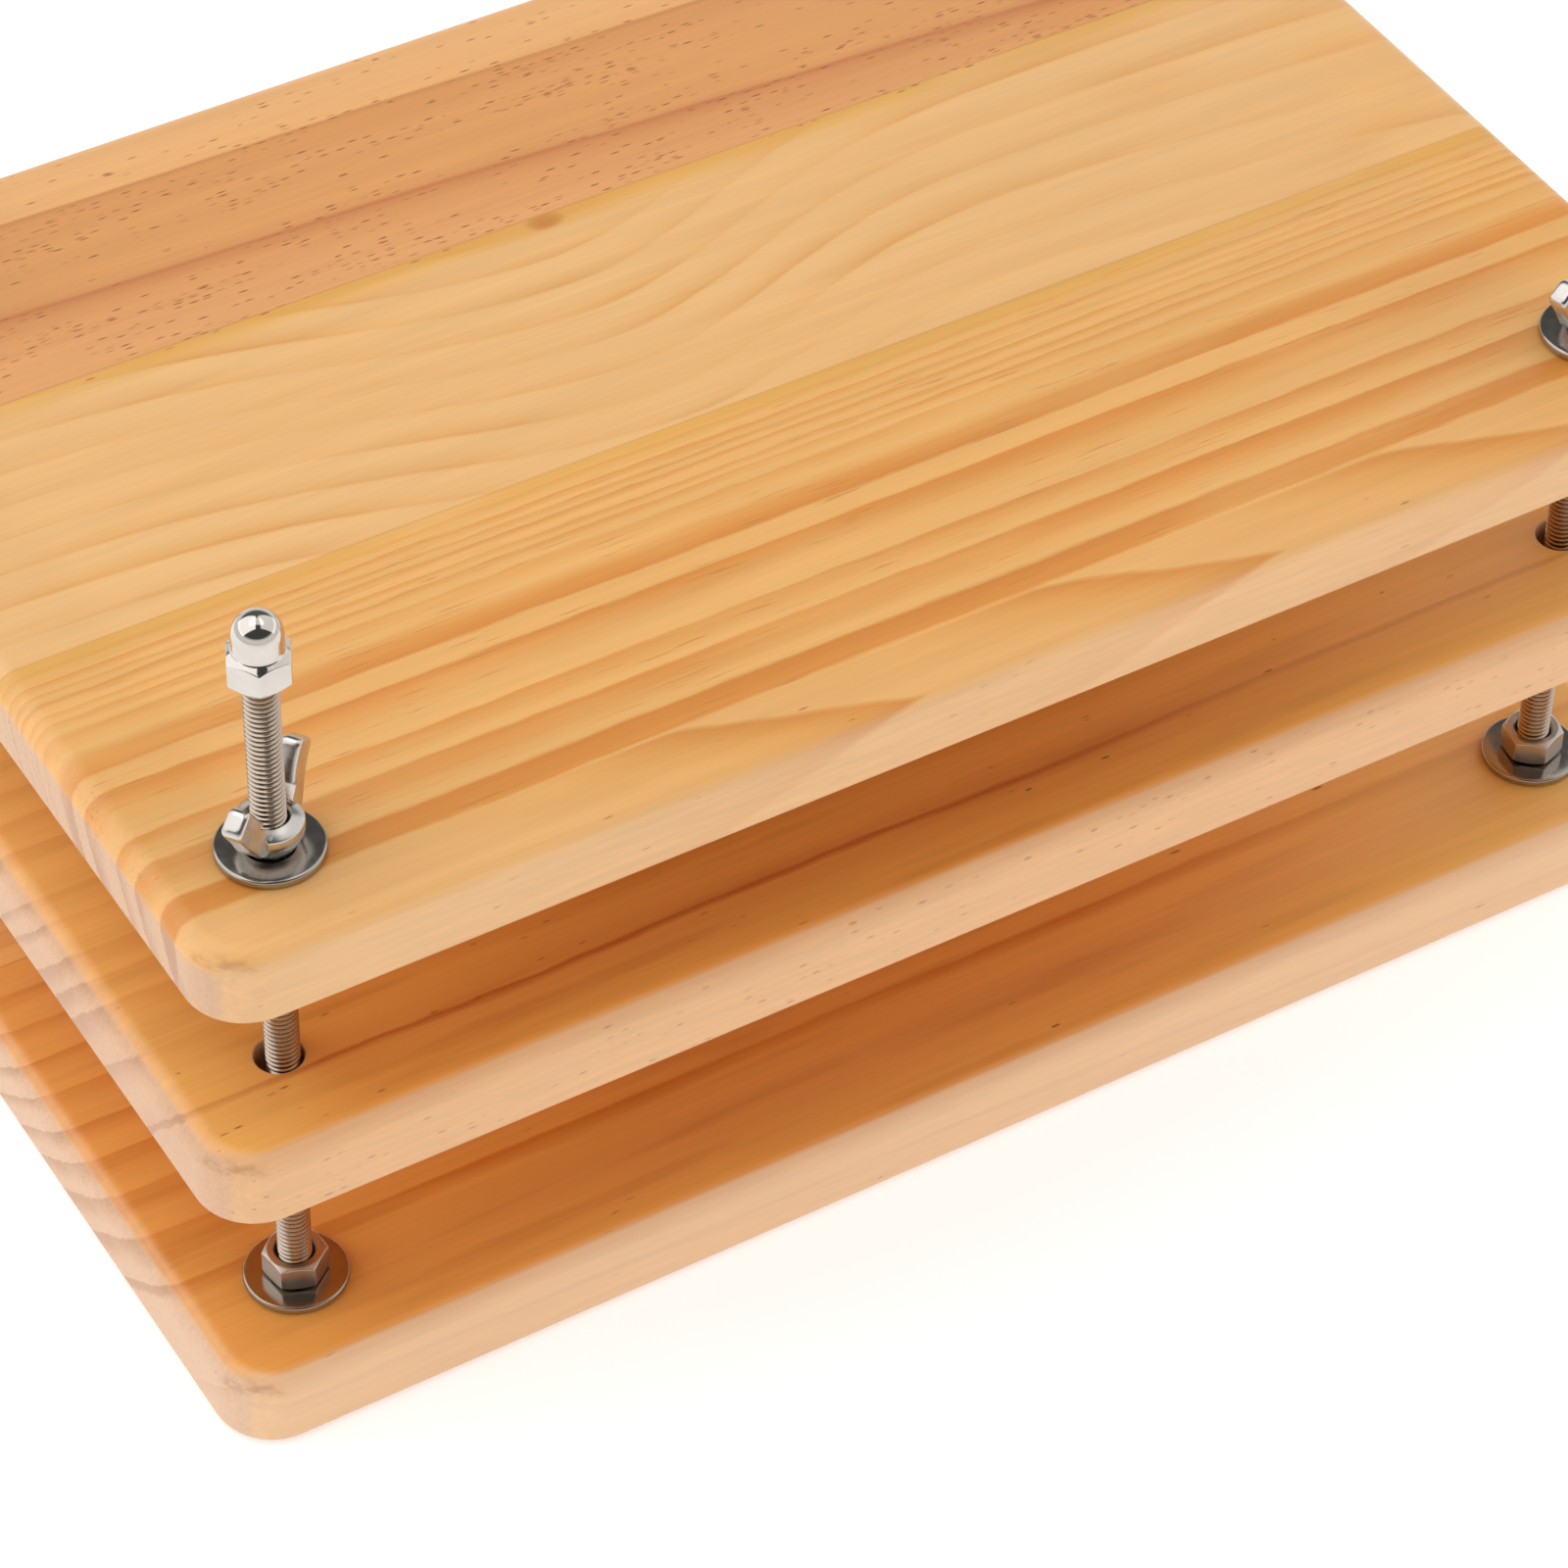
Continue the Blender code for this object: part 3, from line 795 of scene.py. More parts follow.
class PineFinish(Finish):
    """Pine with places measured in millimetres from the middle of a board's upper face. Rings lean and
    bend with the depth. Upright is 1 on the sides and end on the end grain; each is a step of the
    squared upward part of the normal, from the round-over's start to its stop. Corner is 1 in patches
    where the round-over turns a corner and the open grain drank more varnish."""

    def __init__(self, name, node, lean, bend, side_turn, end_turn):
        super().__init__(name, Coat_Weight=0.35, Coat_Roughness=0.48)
        low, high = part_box(node)
        middle = (low.x + high.x) / 2, (low.y + high.y) / 2, high.z
        place = self.fed(self.node("ShaderNodeMapping"), self.coords("Object"))
        place.inputs["Scale"].default_value = (1 / MM,) * 3
        place.inputs["Location"].default_value = [-value / MM for value in middle]
        self.place = place.outputs[0]
        self.x, self.y, self.z = self.parts(self.place)
        x2, y2, z2 = (self.times(way, way) for way in self.parts(self.coords("Normal")))
        sideways = self.step(self.minus(x2, y2), -0.2, 0.4)
        self.end = self.times(self.step(z2, *end_turn), sideways)
        long_side = self.times(self.step(z2, *side_turn), self.minus(1.0, sideways))
        self.upright = self.total(self.end, long_side)
        self.level = self.minus(1.0, self.upright)
        bent = self.times(self.step(self.times(x2, y2), 0.005, 0.07), self.step(z2, 0.02, 0.2))
        smear = self.noise(self.stretch(self.place, (0.25, 0.25, 0.6)))
        self.corner = self.times(bent, self.step(smear, 0.35, 0.6))
        lobes = self.noise(self.stretch(self.place, (0.05, 0.9, 0.6)))
        lobes = self.times(self.total(lobes, -0.5), 1.6, self.end)
        fine = self.wander(0.05, 0.3, 0.7, 3.0)
        leaning = self.total(self.times(self.z, -lean), self.times(self.z, self.z, bend))
        self.across = self.total(self.y, leaning, fine, lobes)

    def grain(self, along, across, detail=2.0, roughness=0.5):
        """Noise of so many waves per millimetre along and across the grain."""
        return self.noise(self.stretch(self.place, (along, across, across)), detail, roughness)

    def wander(self, along, across, reach, detail=2.0):
        """A slow sideways drift of the rings, in millimetres."""
        return self.times(self.total(self.grain(along, across, detail), -0.5), reach)

    def strip(self, across, stops):
        """Colours along a line across the grain: each stop is a place in millimetres and a colour."""
        first, last = stops[0][0], stops[-1][0]
        share = self.sum("DIVIDE", self.total(across, -first), last - first)
        return self.ramp(share, [((at - first) / (last - first), colour) for at, colour in stops])

    def spot(self, centre, size):
        """1 in the middle of an ellipse of that centre and half size, fading to 0 at its edge."""
        away = [
            self.sum("DIVIDE", self.total(axis, -middle), half)
            for axis, middle, half in zip((self.x, self.across), centre, size)
        ]
        square = self.total(self.times(away[0], away[0]), self.times(away[1], away[1]))
        return self.step(square, 1.0, 0.0)


print("wood helpers ready")

# %% [markdown]
# ### Three kinds of stave
# Heartwood is reddish, with rings far apart and short dark resin ducts. Plain sapwood is pale, and its
# rings sweep round a knot. Striped sapwood was sawn square to the rings, so they run straight; each
# ring is dark at its edge and fades until the next one.

# %% Stave recipes
FRONT_EDGE = -100.0
SLOPE_START = (-100.0, 84.0)
BELL_SHIFT = -4.0
BELL_REACH = 44.0
BELL_LONGER = 19.0
DRIFT_SHIFT = -5.5
KNOT_SIZE = (4.6, 2.7)
HALO_SIZE = (26.0, 3.6)


def ring_stops(start, end, rings, pale, dark):
    """Stops of a striped stave from the back forwards: each ring is (edge, solid width, fading width,
    depth of colour), sharp at its back edge and pale again after it has faded. A ring whose fading
    width is negative is turned round: it darkens slowly and is sharp at its front edge."""
    ends = [np.array([int(code[i:i + 2], 16) for i in (0, 2, 4)]) for code in (pale, dark)]

    def shade(depth):
        """Screen tone between the pale and the dark wood."""
        mixed = np.rint(ends[0] + (ends[1] - ends[0]) * depth).astype(int)
        return "%02x%02x%02x" % tuple(mixed.tolist())

    stops = [(start, pale)]
    for edge, solid, fading, depth in rings:
        if fading < 0:
            line_start = edge + fading
            stops += [
                (edge, shade(depth * 0.1)), (line_start, shade(depth * 0.7)),
                (line_start - solid, shade(depth)), (line_start - solid - 0.35, shade(depth * 0.12)),
            ]
        else:
            stops += [
                (edge + 0.25, shade(depth * 0.12)), (edge - 0.15, shade(depth)),
                (edge - solid, shade(depth * 0.8)), (edge - solid - fading, shade(depth * 0.1)),
            ]
    return toned([*stops, (end, pale)])


def even_rings(start, end, pitch):
    """Rings of one kind, a pitch apart."""
    return [(float(place), 0.5, 4.0, 0.75) for place in np.arange(start, end, -pitch)]


def heart_stave(pine, stops, slopes):
    """Heartwood: straight rings that slope along the board, a little more towards the front."""
    turn = pine.total(slopes[0], pine.times(pine.minus(SLOPE_START[1], pine.y), slopes[1]))
    slope = pine.times(pine.total(pine.x, -SLOPE_START[0]), turn)
    return pine.strip(pine.total(pine.across, slope, pine.wander(0.008, 0.015, 3.0)), toned(stops))


def plain_stave(pine, start, width, knot, sweep, drift):
    """Pale sapwood: rings dip forwards past the knot by sweep millimetres, as a bell curve of x that
    is longer on its left, and drift apart to the right."""
    away = pine.total(pine.x, -knot[0] - BELL_SHIFT)
    reach = pine.total(BELL_REACH, pine.times(pine.sum("LESS_THAN", away, 0.0), BELL_LONGER))
    share = pine.sum("DIVIDE", away, reach)
    bell = pine.sum("EXPONENT", pine.times(share, share, -1.0))
    right = pine.sum("MAXIMUM", pine.x, 0.0)
    right = pine.times(right, pine.minus(knot[1] + DRIFT_SHIFT, pine.y))
    across = pine.total(
        pine.across, pine.times(bell, sweep), pine.times(right, drift), pine.wander(0.007, 0.022, 3.0)
    )
    turns = pine.sum("DIVIDE", pine.minus(start, across), width)
    colour = pine.ramp(pine.sum("FRACT", turns), toned((
        (0.00, "e6b06c"), (0.10, "eab878"), (0.40, "eab777"), (0.66, "e6af6b"), (0.86, "e1a55d"),
        (0.95, "dc9a4f"), (1.00, "df9f56"),
    )))
    colour = pine.stain(pine.step(pine.grain(0.011, 0.04), 0.45, 0.7, 0.0, 0.6), colour, "e4a65c")
    colour = pine.stain(pine.step(pine.grain(0.014, 0.04), 0.30, 0.58, 0.05, 0.70), colour, "e9b575")
    colour = pine.stain(pine.times(pine.spot(knot, HALO_SIZE), 0.5), colour, "db994a")
    return pine.stain(pine.times(pine.spot(knot, KNOT_SIZE), 0.95), colour, "b46018")


def striped_stave(pine, rings, start, end, drift=2.4, pale="e9b168", dark="d48127"):
    """Straight stripes: the rings' stops, laid across the board, drifting a few millimetres."""
    across = pine.total(
        pine.across, pine.wander(0.007, 0.01, drift), pine.wander(0.02, 0.12, 1.0),
        pine.wander(0.10, 0.6, 0.7),
    )
    colour = pine.strip(across, ring_stops(start, end, rings, pale, dark))
    return pine.stain(pine.step(pine.grain(0.016, 0.09), 0.45, 0.7, 0.0, 0.32), colour, pale)


def dashes(pine, colour, start, end):
    """Short, thin dark dashes of close rings, drawn out along the grain between two places."""
    fine = pine.step(pine.grain(0.07, 1.7, 2.0, 0.55), 0.60, 0.70)
    patch = pine.step(pine.grain(0.03, 0.12), 0.42, 0.62)
    within = pine.times(
        pine.step(pine.across, start, start + 4), pine.step(pine.across, end, end - 4)
    )
    return pine.stain(pine.times(fine, patch, within, 0.6), colour, "b9712c")


def streaks(pine, colour, depth):
    """Darker streaks on the level faces, drawn out along the grain."""
    streak = pine.step(pine.grain(0.012, 0.16, 3.0, 0.55), 0.48, 0.72, 0.0, depth)
    return pine.stain(pine.times(streak, pine.level), colour, "b86e26")


def tongues(pine, colour, edge, tip, pitch):
    """Tongues of late wood in front of an edge, where the router ran out of a ring at a low angle: each
    runs out to a point on the round-over, is dark there and fades to the left and down the front."""
    over = pine.total(pine.y, -FRONT_EDGE, pine.z, pine.wander(0.03, 0.1, 3.0))
    over = pine.times(pine.sum("ABSOLUTE", over), 3.2)
    turns = pine.sum("DIVIDE", pine.total(pine.x, -tip, over, pine.wander(0.02, 0.06, 10.0)), pitch)
    shade = pine.ramp(pine.sum("FRACT", turns), toned((
        (0.00, "e6ac65"), (0.03, "e6ac65"), (0.50, "e4a85e"), (0.76, "df9d4e"), (0.95, "d68b37"),
        (1.00, "e1a359"),
    )))
    shade = pine.stain(pine.step(turns, -0.60, -0.97), shade, "e7ae69")
    before = pine.step(pine.y, edge + 0.4, edge - 0.6)
    return pine.mix(pine.times(before, pine.step(pine.z, -8.0, -0.6, 0.45, 1.0)), colour, shade)


print("stave recipes ready")

# %% [markdown]
# ### Ducts, seams and varnish
# Resin ducts are short dark dashes on the long faces and dots on the ends, because they run with the
# grain. The staves meet in fine glue lines. Satin varnish covers all of it. The level faces of the
# lower boards get a deeper golden painted shade and a painted lift of light; the sides of every board
# get a pale painted sheen, and the ends their own paler tones, which carry that painted sheen too.

# %% Board finishes


def ducts(pine, rows, size):
    """Where the dashes are: cells drawn out along the grain, of which rows picks some by its (place,
    odds) stops across the board. Size is cells per millimetre along and across the grain."""
    cells = pine.node("ShaderNodeTexVoronoi", feature="F1")
    pine.feed(cells.inputs["Vector"], pine.stretch(pine.place, (size[0], size[1], size[1])))
    cells.inputs["Scale"].default_value = 1.0
    near = pine.step(cells.outputs["Distance"], 0.46, 0.16)
    pick = pine.fed(pine.node("ShaderNodeSeparateColor"), cells.outputs["Color"]).outputs
    odds = pine.strip(pine.across, [(at, (share, share, share, 1)) for at, share in rows])
    odds = pine.times(odds, pine.step(pine.grain(0.03, 0.22), 0.38, 0.66, 0.05, 2.2))
    shown = pine.sum("LESS_THAN", pick[0], odds)
    return pine.times(near, shown, pine.step(pick[1], 0.0, 1.0, 0.35, 1.0))


def seam(pine, behind, before, place, strength, soaked):
    """Lay the next stave in front of a glue line, with a golden stain where the glue soaked in."""
    colour = pine.mix(pine.step(pine.y, place + 0.08, place - 0.08), behind, before)
    gap = pine.total(pine.y, -place)
    soak = pine.times(pine.step(gap, -6.0, -0.5), pine.sum("LESS_THAN", gap, 0.0))
    patch = pine.step(pine.grain(0.02, 0.02, 1.0), 0.28, 0.50, 0.1, soaked)
    colour = pine.stain(pine.times(soak, patch), colour, "dea244")
    glue = pine.step(pine.sum("ABSOLUTE", gap), 0.4, 0.05, 0.0, strength)
    return pine.stain(glue, colour, "b57434")


def varnished(pine, colour, pits, painted_shade_share, painted_light_gain, pale, painted_sheen_tone, end_pale, end_late):
    """Add fibres, the painted sheen of the sides, end grain with stronger rings and pores, the ducts,
    the gloss and the fine relief of sanded wood. Of the numbers after the pits, the first two paint a
    deeper golden shade and a lift of light on the level faces, and the third, with the tone after it,
    paints a pale sheen on the sides; the end tones carry that painted sheen too."""
    fibre = pine.grain(0.03, 1.7, 4.0, 0.6)
    coarse = pine.grain(0.010, 0.25, 3.0, 0.6)
    mottle = pine.grain(0.06, 0.9, 3.0, 0.6)
    pores = pine.grain(0.4, 3.2, 2.0, 0.7)
    shade = pine.total(
        pine.step(fibre, 0.2, 0.8, 0.96, 1.035), pine.step(coarse, 0.2, 0.8, -0.05, 0.05)
    )
    # Painted light: the level faces of the lower boards are lightened against the shade of the boards
    # above.
    shade = pine.times(shade, pine.total(1.0, pine.times(pine.level, painted_light_gain)))
    side = pine.times(pine.upright, pine.step(mottle, 0.25, 0.75, -0.08, 0.08))
    shade = pine.times(shade, pine.total(1.0, side))
    ring = pine.fed(pine.node("ShaderNodeRGBToBW"), colour).outputs[0]
    late = pine.step(ring, 0.34, 0.455, 1.0, 0.0)
    colour = pine.shaded(colour, shade)
    # Painted shade: the level faces of the lower boards turn deeper and more golden, like light bounced
    # about between the boards.
    colour = pine.mix(pine.times(pine.level, painted_shade_share), colour, tone("fdf1c1"), "MULTIPLY")
    # Painted sheen: the sides are mixed towards a pale tone, in place of the bright table's reflection.
    colour = pine.stain(pine.times(pine.upright, pale), colour, painted_sheen_tone)
    grey = pine.times(
        pine.step(pores, 0.3, 0.7, 0.94, 1.04), pine.step(mottle, 0.25, 0.75, 0.95, 1.05)
    )
    # The paler end-grain tones also hold the painted sheen.
    end_tone = pine.shaded(pine.stain(late, tone(end_pale), end_late), grey)
    colour = pine.mix(pine.times(pine.end, 0.85), colour, end_tone)
    colour = pine.stain(pine.times(pine.corner, 0.45), colour, "a86a32")
    depth = pine.total(0.9, pine.times(pine.upright, -0.45), pine.times(pine.end, -0.1))
    pine.set("Base Color", pine.stain(pine.times(pits, depth), colour, "8a4712"))
    pine.set("Roughness", pine.step(fibre, 0.2, 0.8, 0.38, 0.5))
    pine.bump(pine.total(fibre, pine.times(pits, -1.5)), 0.02 * MM, 0.5)
    return pine.material


HEART = (
    (104.0, "e7ab6d"), (92.0, "e9af71"), (85.2, "e7ab6c"), (84.6, "ca884a"), (83.4, "d79354"),
    (78.0, "dd9957"), (70.0, "dd9a57"), (62.6, "dc9856"), (61.2, "d79051"), (60.5, "c67640"),
    (59.6, "d1874b"), (57.0, "da9455"), (52.0, "df9b5c"), (47.0, "e2a062"), (36.0, "e1a061"),
)
STRIPES = (
    (-39.3, 0.6, 3.6, 0.42), (-43.8, 3.4, -2.6, 0.85), (-54.7, 1.8, 6.0, 0.85),
    (-66.0, 0.8, 4.5, 0.70), (-72.4, 2.2, 5.0, 0.85), (-81.2, 4.8, 0.8, 0.95),
)
FINE = (
    (-23.6, 0.1, 1.2, 0.40), (-26.5, 0.2, 1.4, 0.60), (-28.9, 0.1, 1.2, 0.40), (-31.0, 0.2, 1.4, 0.60),
    (-34.0, 0.2, 1.2, 0.55), (-36.2, 0.2, 1.6, 0.60),
)


def top_pine():
    """The top board: heartwood at the back, plain sapwood with a knot, straight stripes in front."""
    pine = PineFinish("pine_top_board", "top_board", 0.0, 0.027, (0.56, 0.0), (0.06, 0.0))
    heart = heart_stave(pine, HEART, (0.018, 0.001))
    pits = ducts(pine, (
        (100, 0.05), (86, 0.08), (83, 0.28), (70, 0.26), (66, 0.08), (61, 0.06), (58, 0.28), (40, 0.28),
        (39.5, 0.0), (-92, 0.0), (-97, 0.015), (-106, 0.015),
    ), (0.33, 1.9))
    plain = plain_stave(pine, 33.5, 8.1, (-14.0, 38.5), 21.0, 0.0024)
    front = striped_stave(pine, STRIPES, -20.0, -116.0)
    fine = striped_stave(pine, FINE, -18.0, -42.0)
    front = pine.mix(pine.step(pine.across, -38.9, -38.4), front, fine)
    front = dashes(pine, front, -90.0, -20.0)
    front = tongues(pine, front, -87.0, -17.0, 69.0)
    colour = seam(pine, heart, plain, 40.3, 0.30, 0.85)
    colour = seam(pine, colour, front, -21.2, 0.2, 0.75)
    # Painted sheen on the sides; no painted shade or light on the level faces.
    return varnished(pine, colour, pits, 0.0, 0.0, 0.30, "e6c7a9", "d2a784", "b88765")


LOWER_TURNS = ((0.985, 0.78), (0.76, 0.42))
MIDDLE_TONES = ("e9a85f", "cf7b2e")
MIDDLE_RINGS = (
    (-27.5, 0.4, 3.0, 0.75), (-33.8, 0.5, 2.4, 0.75), (-42.5, 0.6, 5.0, 0.8), (-49.0, 0.7, 5.0, 0.8),
    (-55.6, 0.7, 8.0, 0.75), (-68.0, 0.7, 7.0, 0.55), (-83.4, 0.25, 1.3, 2.0),
)


def middle_pine():
    """The middle board: flecked wood with one wavy late line in front, rings closing up behind it."""
    pine = PineFinish("pine_middle_board", "middle_board", -0.9, 0.0, *LOWER_TURNS)
    front = striped_stave(pine, MIDDLE_RINGS, -20.0, -116.0, 6.0, *MIDDLE_TONES)
    behind = striped_stave(pine, even_rings(6.0, -20.0, 7.2), 14.0, -24.0, 6.0, *MIDDLE_TONES)
    front = pine.mix(pine.step(pine.across, -22.4, -21.8), front, behind)
    pits = ducts(pine, (
        (100, 0.0), (-40, 0.0), (-60, 0.01), (-97, 0.015), (-101, 0.12), (-118, 0.12),
    ), (0.38, 1.4))
    plain = plain_stave(pine, 20.0, 10.5, (48.0, 36.0), 14.0, 0.001)
    back = heart_stave(pine, HEART, (-0.02, 0.0))
    colour = seam(pine, back, plain, 54.0, 0.35, 0.5)
    colour = seam(pine, colour, front, 10.0, 0.4, 0.5)
    colour = streaks(pine, colour, 0.4)
    # Painted light: the level faces are lighter towards the right and the far left end, where more
    # light reaches the gap.
    painted_gap_light = pine.total(
        pine.step(pine.x, 0.0, 115.0, 0.0, 0.5), pine.step(pine.x, -120.0, -140.0, 0.0, 0.35)
    )
    colour = pine.stain(pine.times(painted_gap_light, pine.level), colour, "edca86")
    # Painted shade and light on the level faces, painted sheen on the sides.
    return varnished(pine, colour, pits, 0.75, 0.10, 0.38, "e6c7a9", "d6aa86", "bd8b67")


BOTTOM_TONES = ("e9a95f", "cf7c2e")
BOTTOM_RINGS = (
    (-30.0, 0.6, 5.0, 0.8), (-38.5, 0.6, 6.0, 0.8), (-48.0, 0.7, 7.0, 0.85), (-59.0, 0.7, 8.0, 0.8),
    (-71.2, 0.6, 3.0, 1.2), (-97.0, 0.8, 7.0, 0.3),
)


def bottom_pine():
    """The bottom board: a wide calm stave with one late line in front, stripes behind it."""
    pine = PineFinish("pine_bottom_board", "bottom_board", -1.3, 0.0, *LOWER_TURNS)
    front = striped_stave(pine, BOTTOM_RINGS, -20.0, -124.0, 3.0, *BOTTOM_TONES)
    rim_line = pine.total(pine.z, pine.times(pine.x, 0.014), 7.3, pine.wander(0.02, 0.02, 1.5))
    rim = pine.times(pine.upright, pine.minus(1.0, pine.end))
    rim = pine.times(rim, pine.step(pine.sum("ABSOLUTE", rim_line), 1.3, 0.0), 0.45)
    front = pine.stain(rim, front, "cf8a48")
    pits = ducts(pine, ((100, 0.0), (0, 0.004), (-120, 0.004)), (0.28, 1.3))
    behind = striped_stave(pine, even_rings(5.0, -22.0, 8.6), 14.0, -28.0, 3.0, *BOTTOM_TONES)
    front = pine.mix(pine.step(pine.across, -26.4, -25.8), front, behind)
    plain = plain_stave(pine, 12.0, 9.0, (-70.0, 30.0), 12.0, 0.002)
    back = heart_stave(pine, HEART, (0.03, 0.0))
    colour = seam(pine, back, plain, 48.0, 0.35, 0.5)
    colour = seam(pine, colour, front, 12.0, 0.4, 0.5)
    colour = streaks(pine, colour, 0.35)
    # Painted light: the level faces are lighter towards the right, where more light reaches the gap.
    painted_gap_light = pine.step(pine.x, 20.0, 125.0, 0.0, 0.5)
    colour = pine.stain(pine.times(painted_gap_light, pine.level), colour, "edca86")
    # Painted shade and light on the level faces, painted sheen on the sides.
    return varnished(pine, colour, pits, 0.7, 0.08, 0.52, "efd2b3", "ddb797", "c39673")


PINE = {"bottom": bottom_pine(), "middle": middle_pine(), "top": top_pine()}
print("pine finishes:", [len(m.node_tree.nodes) for m in PINE.values()], "nodes")

# %% [markdown]
# ## Steel
# All the fittings are stainless steel, but each was finished in its own way: the cap nuts are buffed
# bright, the washers were tumbled after stamping and keep a fine round grain, the nuts and the wing
# nuts show a soft polish, and the rolled thread is a little duller.

# %% Steel finishes


class SteelFinish(Finish):
    """Steel with places in millimetres. A cloudy noise of so many waves per millimetre varies the
    gloss between two roughnesses, and the tint a little."""

    def __init__(self, name, waves, gloss):
        super().__init__(name, Metallic=1.0)
        self.place = self.stretch(self.coords("Object"), (1 / MM,) * 3)
        self.cloud = self.noise(self.stretch(self.place, (waves,) * 3), 3.0)
        self.set("Roughness", self.step(self.cloud, 0.3, 0.7, *gloss))

    def pattern(self):
        """The piece's own pattern map."""
        return self.node("ShaderNodeUVMap", uv_map="pattern").outputs[0]

    def tinted(self, code, low):
        """A screen colour, darkened to the share low where the cloud is thin."""
        return self.shaded(tone(code), self.step(self.cloud, 0.25, 0.75, low, 1.03))

    def ground(self, colour, place, scale, depth):
        """Colour the surface and tilt it by a fine grain of that depth."""
        self.set("Base Color", colour)
        self.bump(self.noise(self.stretch(place, scale), 2.0, 0.6), depth)
        return self.material


def steel(name, colour, gloss, grain, depth):
    """Polished steel with an even grain of so many waves per millimetre."""
    finish = SteelFinish(name, 0.35, gloss)
    return finish.ground(finish.tinted(colour, 0.95), finish.place, (grain,) * 3, depth)


def washer_steel():
    """Tumbled steel whose fine grain runs round the washer, along its own pattern map."""
    finish = SteelFinish("washer_steel", 0.5, (0.14, 0.20))
    colour = finish.tinted("b2aba3", 0.94)
    return finish.ground(colour, finish.pattern(), (7.0, 900.0, 1.0), 0.001 * MM)


def rod_steel():
    """Rolled thread: bright flanks, and painted shade in the grooves, darker with the depth in the
    pattern map.
    """
    finish = SteelFinish("rod_steel", 0.35, (0.20, 0.28))
    # Painted shade: the thread's grooves darken with their depth.
    groove_shade = finish.step(finish.parts(finish.pattern())[1], 0.25, 0.9, 0.0, 0.8)
    colour = finish.stain(groove_shade, tone("c8b8a8"), "43362c")
    return finish.ground(colour, finish.place, (1.5, 1.5, 14.0), 0.003 * MM)


STEEL = {
    "rod_steel": rod_steel(),
    "washer_steel": washer_steel(),
    "nut_steel": steel("nut_steel", "cec6bd", (0.30, 0.38), 5.0, 0.003 * MM),
    "wing_nut_steel": steel("wing_nut_steel", "d3cec8", (0.20, 0.30), 2.2, 0.008 * MM),
    "cap_nut_steel": steel("cap_nut_steel", "d9d2ca", (0.06, 0.10), 3.0, 0.0015 * MM),
}
print("steel finishes:", list(STEEL))

# %% [markdown]
# ## Dressing the frame
# Now every CAD node gets its dressed piece. The bottom board, the rods and everything clamped to
# them stand still. The middle and top boards slide, and the top washers and wing nuts turn on their
# rods, so each of those rides on its own body.

# %% Boards
CLAMP_HOLE = 3.5 * MM
GUIDE_HOLE = 4.2 * MM
LOW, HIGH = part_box("middle_board")
MIDDLE_LEAN = ((LOW.x + HIGH.x) / 2, (LOW.y + HIGH.y) / 2)
BOARDS = (
    ("bottom", "base", sunk_hole, CLAMP_HOLE, (0, 0)),
    ("middle", "middle_plate", guide_hole, GUIDE_HOLE, MIDDLE_LEAN),
    ("top", "top_plate", guide_hole, GUIDE_HOLE, (0, 0)),
)
for board, body, hole, radius, lean in BOARDS:
    name = board + "_board_pine"
    mesh = board_mesh(name, board + "_board", hole, radius, lean)
    add_piece(name, mesh, PINE[board], body, board + "_board")
    print(name, len(mesh.polygons), "faces")

# %% Rods, nuts and washers
FOOT_RIM = 0.3 * MM
WIDE_RIM = 0.5 * MM
for corner in CORNERS:
    fittings = (
        (rod_mesh, "threaded_rod_", (), "rod_steel", "base"),
        (nut_mesh, "foot_nut_", (0,), "nut_steel", "base"),
        (washer_mesh, "foot_washer_", (FOOT_RIM,), "washer_steel", "base"),
        (washer_mesh, "base_washer_", (WIDE_RIM,), "washer_steel", "base"),
        (nut_mesh, "base_nut_", (NUT_HEADING[corner],), "nut_steel", "base"),
        (cap_mesh, "cap_nut_", (CAP_HEADING[corner],), "cap_nut_steel", "base"),
        (washer_mesh, "top_washer_", (WIDE_RIM,), "washer_steel", "washer_" + corner),
        (wing_nut_mesh, "wing_nut_", (WING_HEADING[corner],), "wing_nut_steel", "wing_" + corner),
    )
    for make, kind, sizes, slot, body in fittings:
        node = kind + corner
        name = node + "_steel"
        add_piece(name, make(name, node, *sizes), STEEL[slot], body, node)
    print(corner, "dressed with", len(fittings), "pieces")

# %% [markdown]
# ## Studio
# The press stands on a white, softly glowing table between two large soft boxes, one behind it on the
# left and one on the right. They almost meet overhead, so the level faces get even light, and they put
# the white shapes on the bright metal. The room is dark on the camera's side and grey at the back: that
# gives the metal its dark lines and the washers their grey faces. The table lights the upright faces.

# %% Floor
FLOOR_HALF = 6.0
FLOOR_DROP = 0.3 * MM
TABLE_WHITE = 0.86
TABLE_GLOW = {
    "Is Camera Ray": 0.40, "Is Glossy Ray": 0.30, "Is Transmission Ray": 0.40, "Is Diffuse Ray": 0.15,
}
FAR_REACH = (0.5, 1.3)


def by_ray(nodes, values):
    """The sum of each kind of ray times its own value, so that one surface can serve each of them."""
    path = nodes.node("ShaderNodeLightPath")
    total = 0.0
    for ray, value in values.items():
        total = nodes.sum("MULTIPLY_ADD", path.outputs[ray], value, total)
    return total


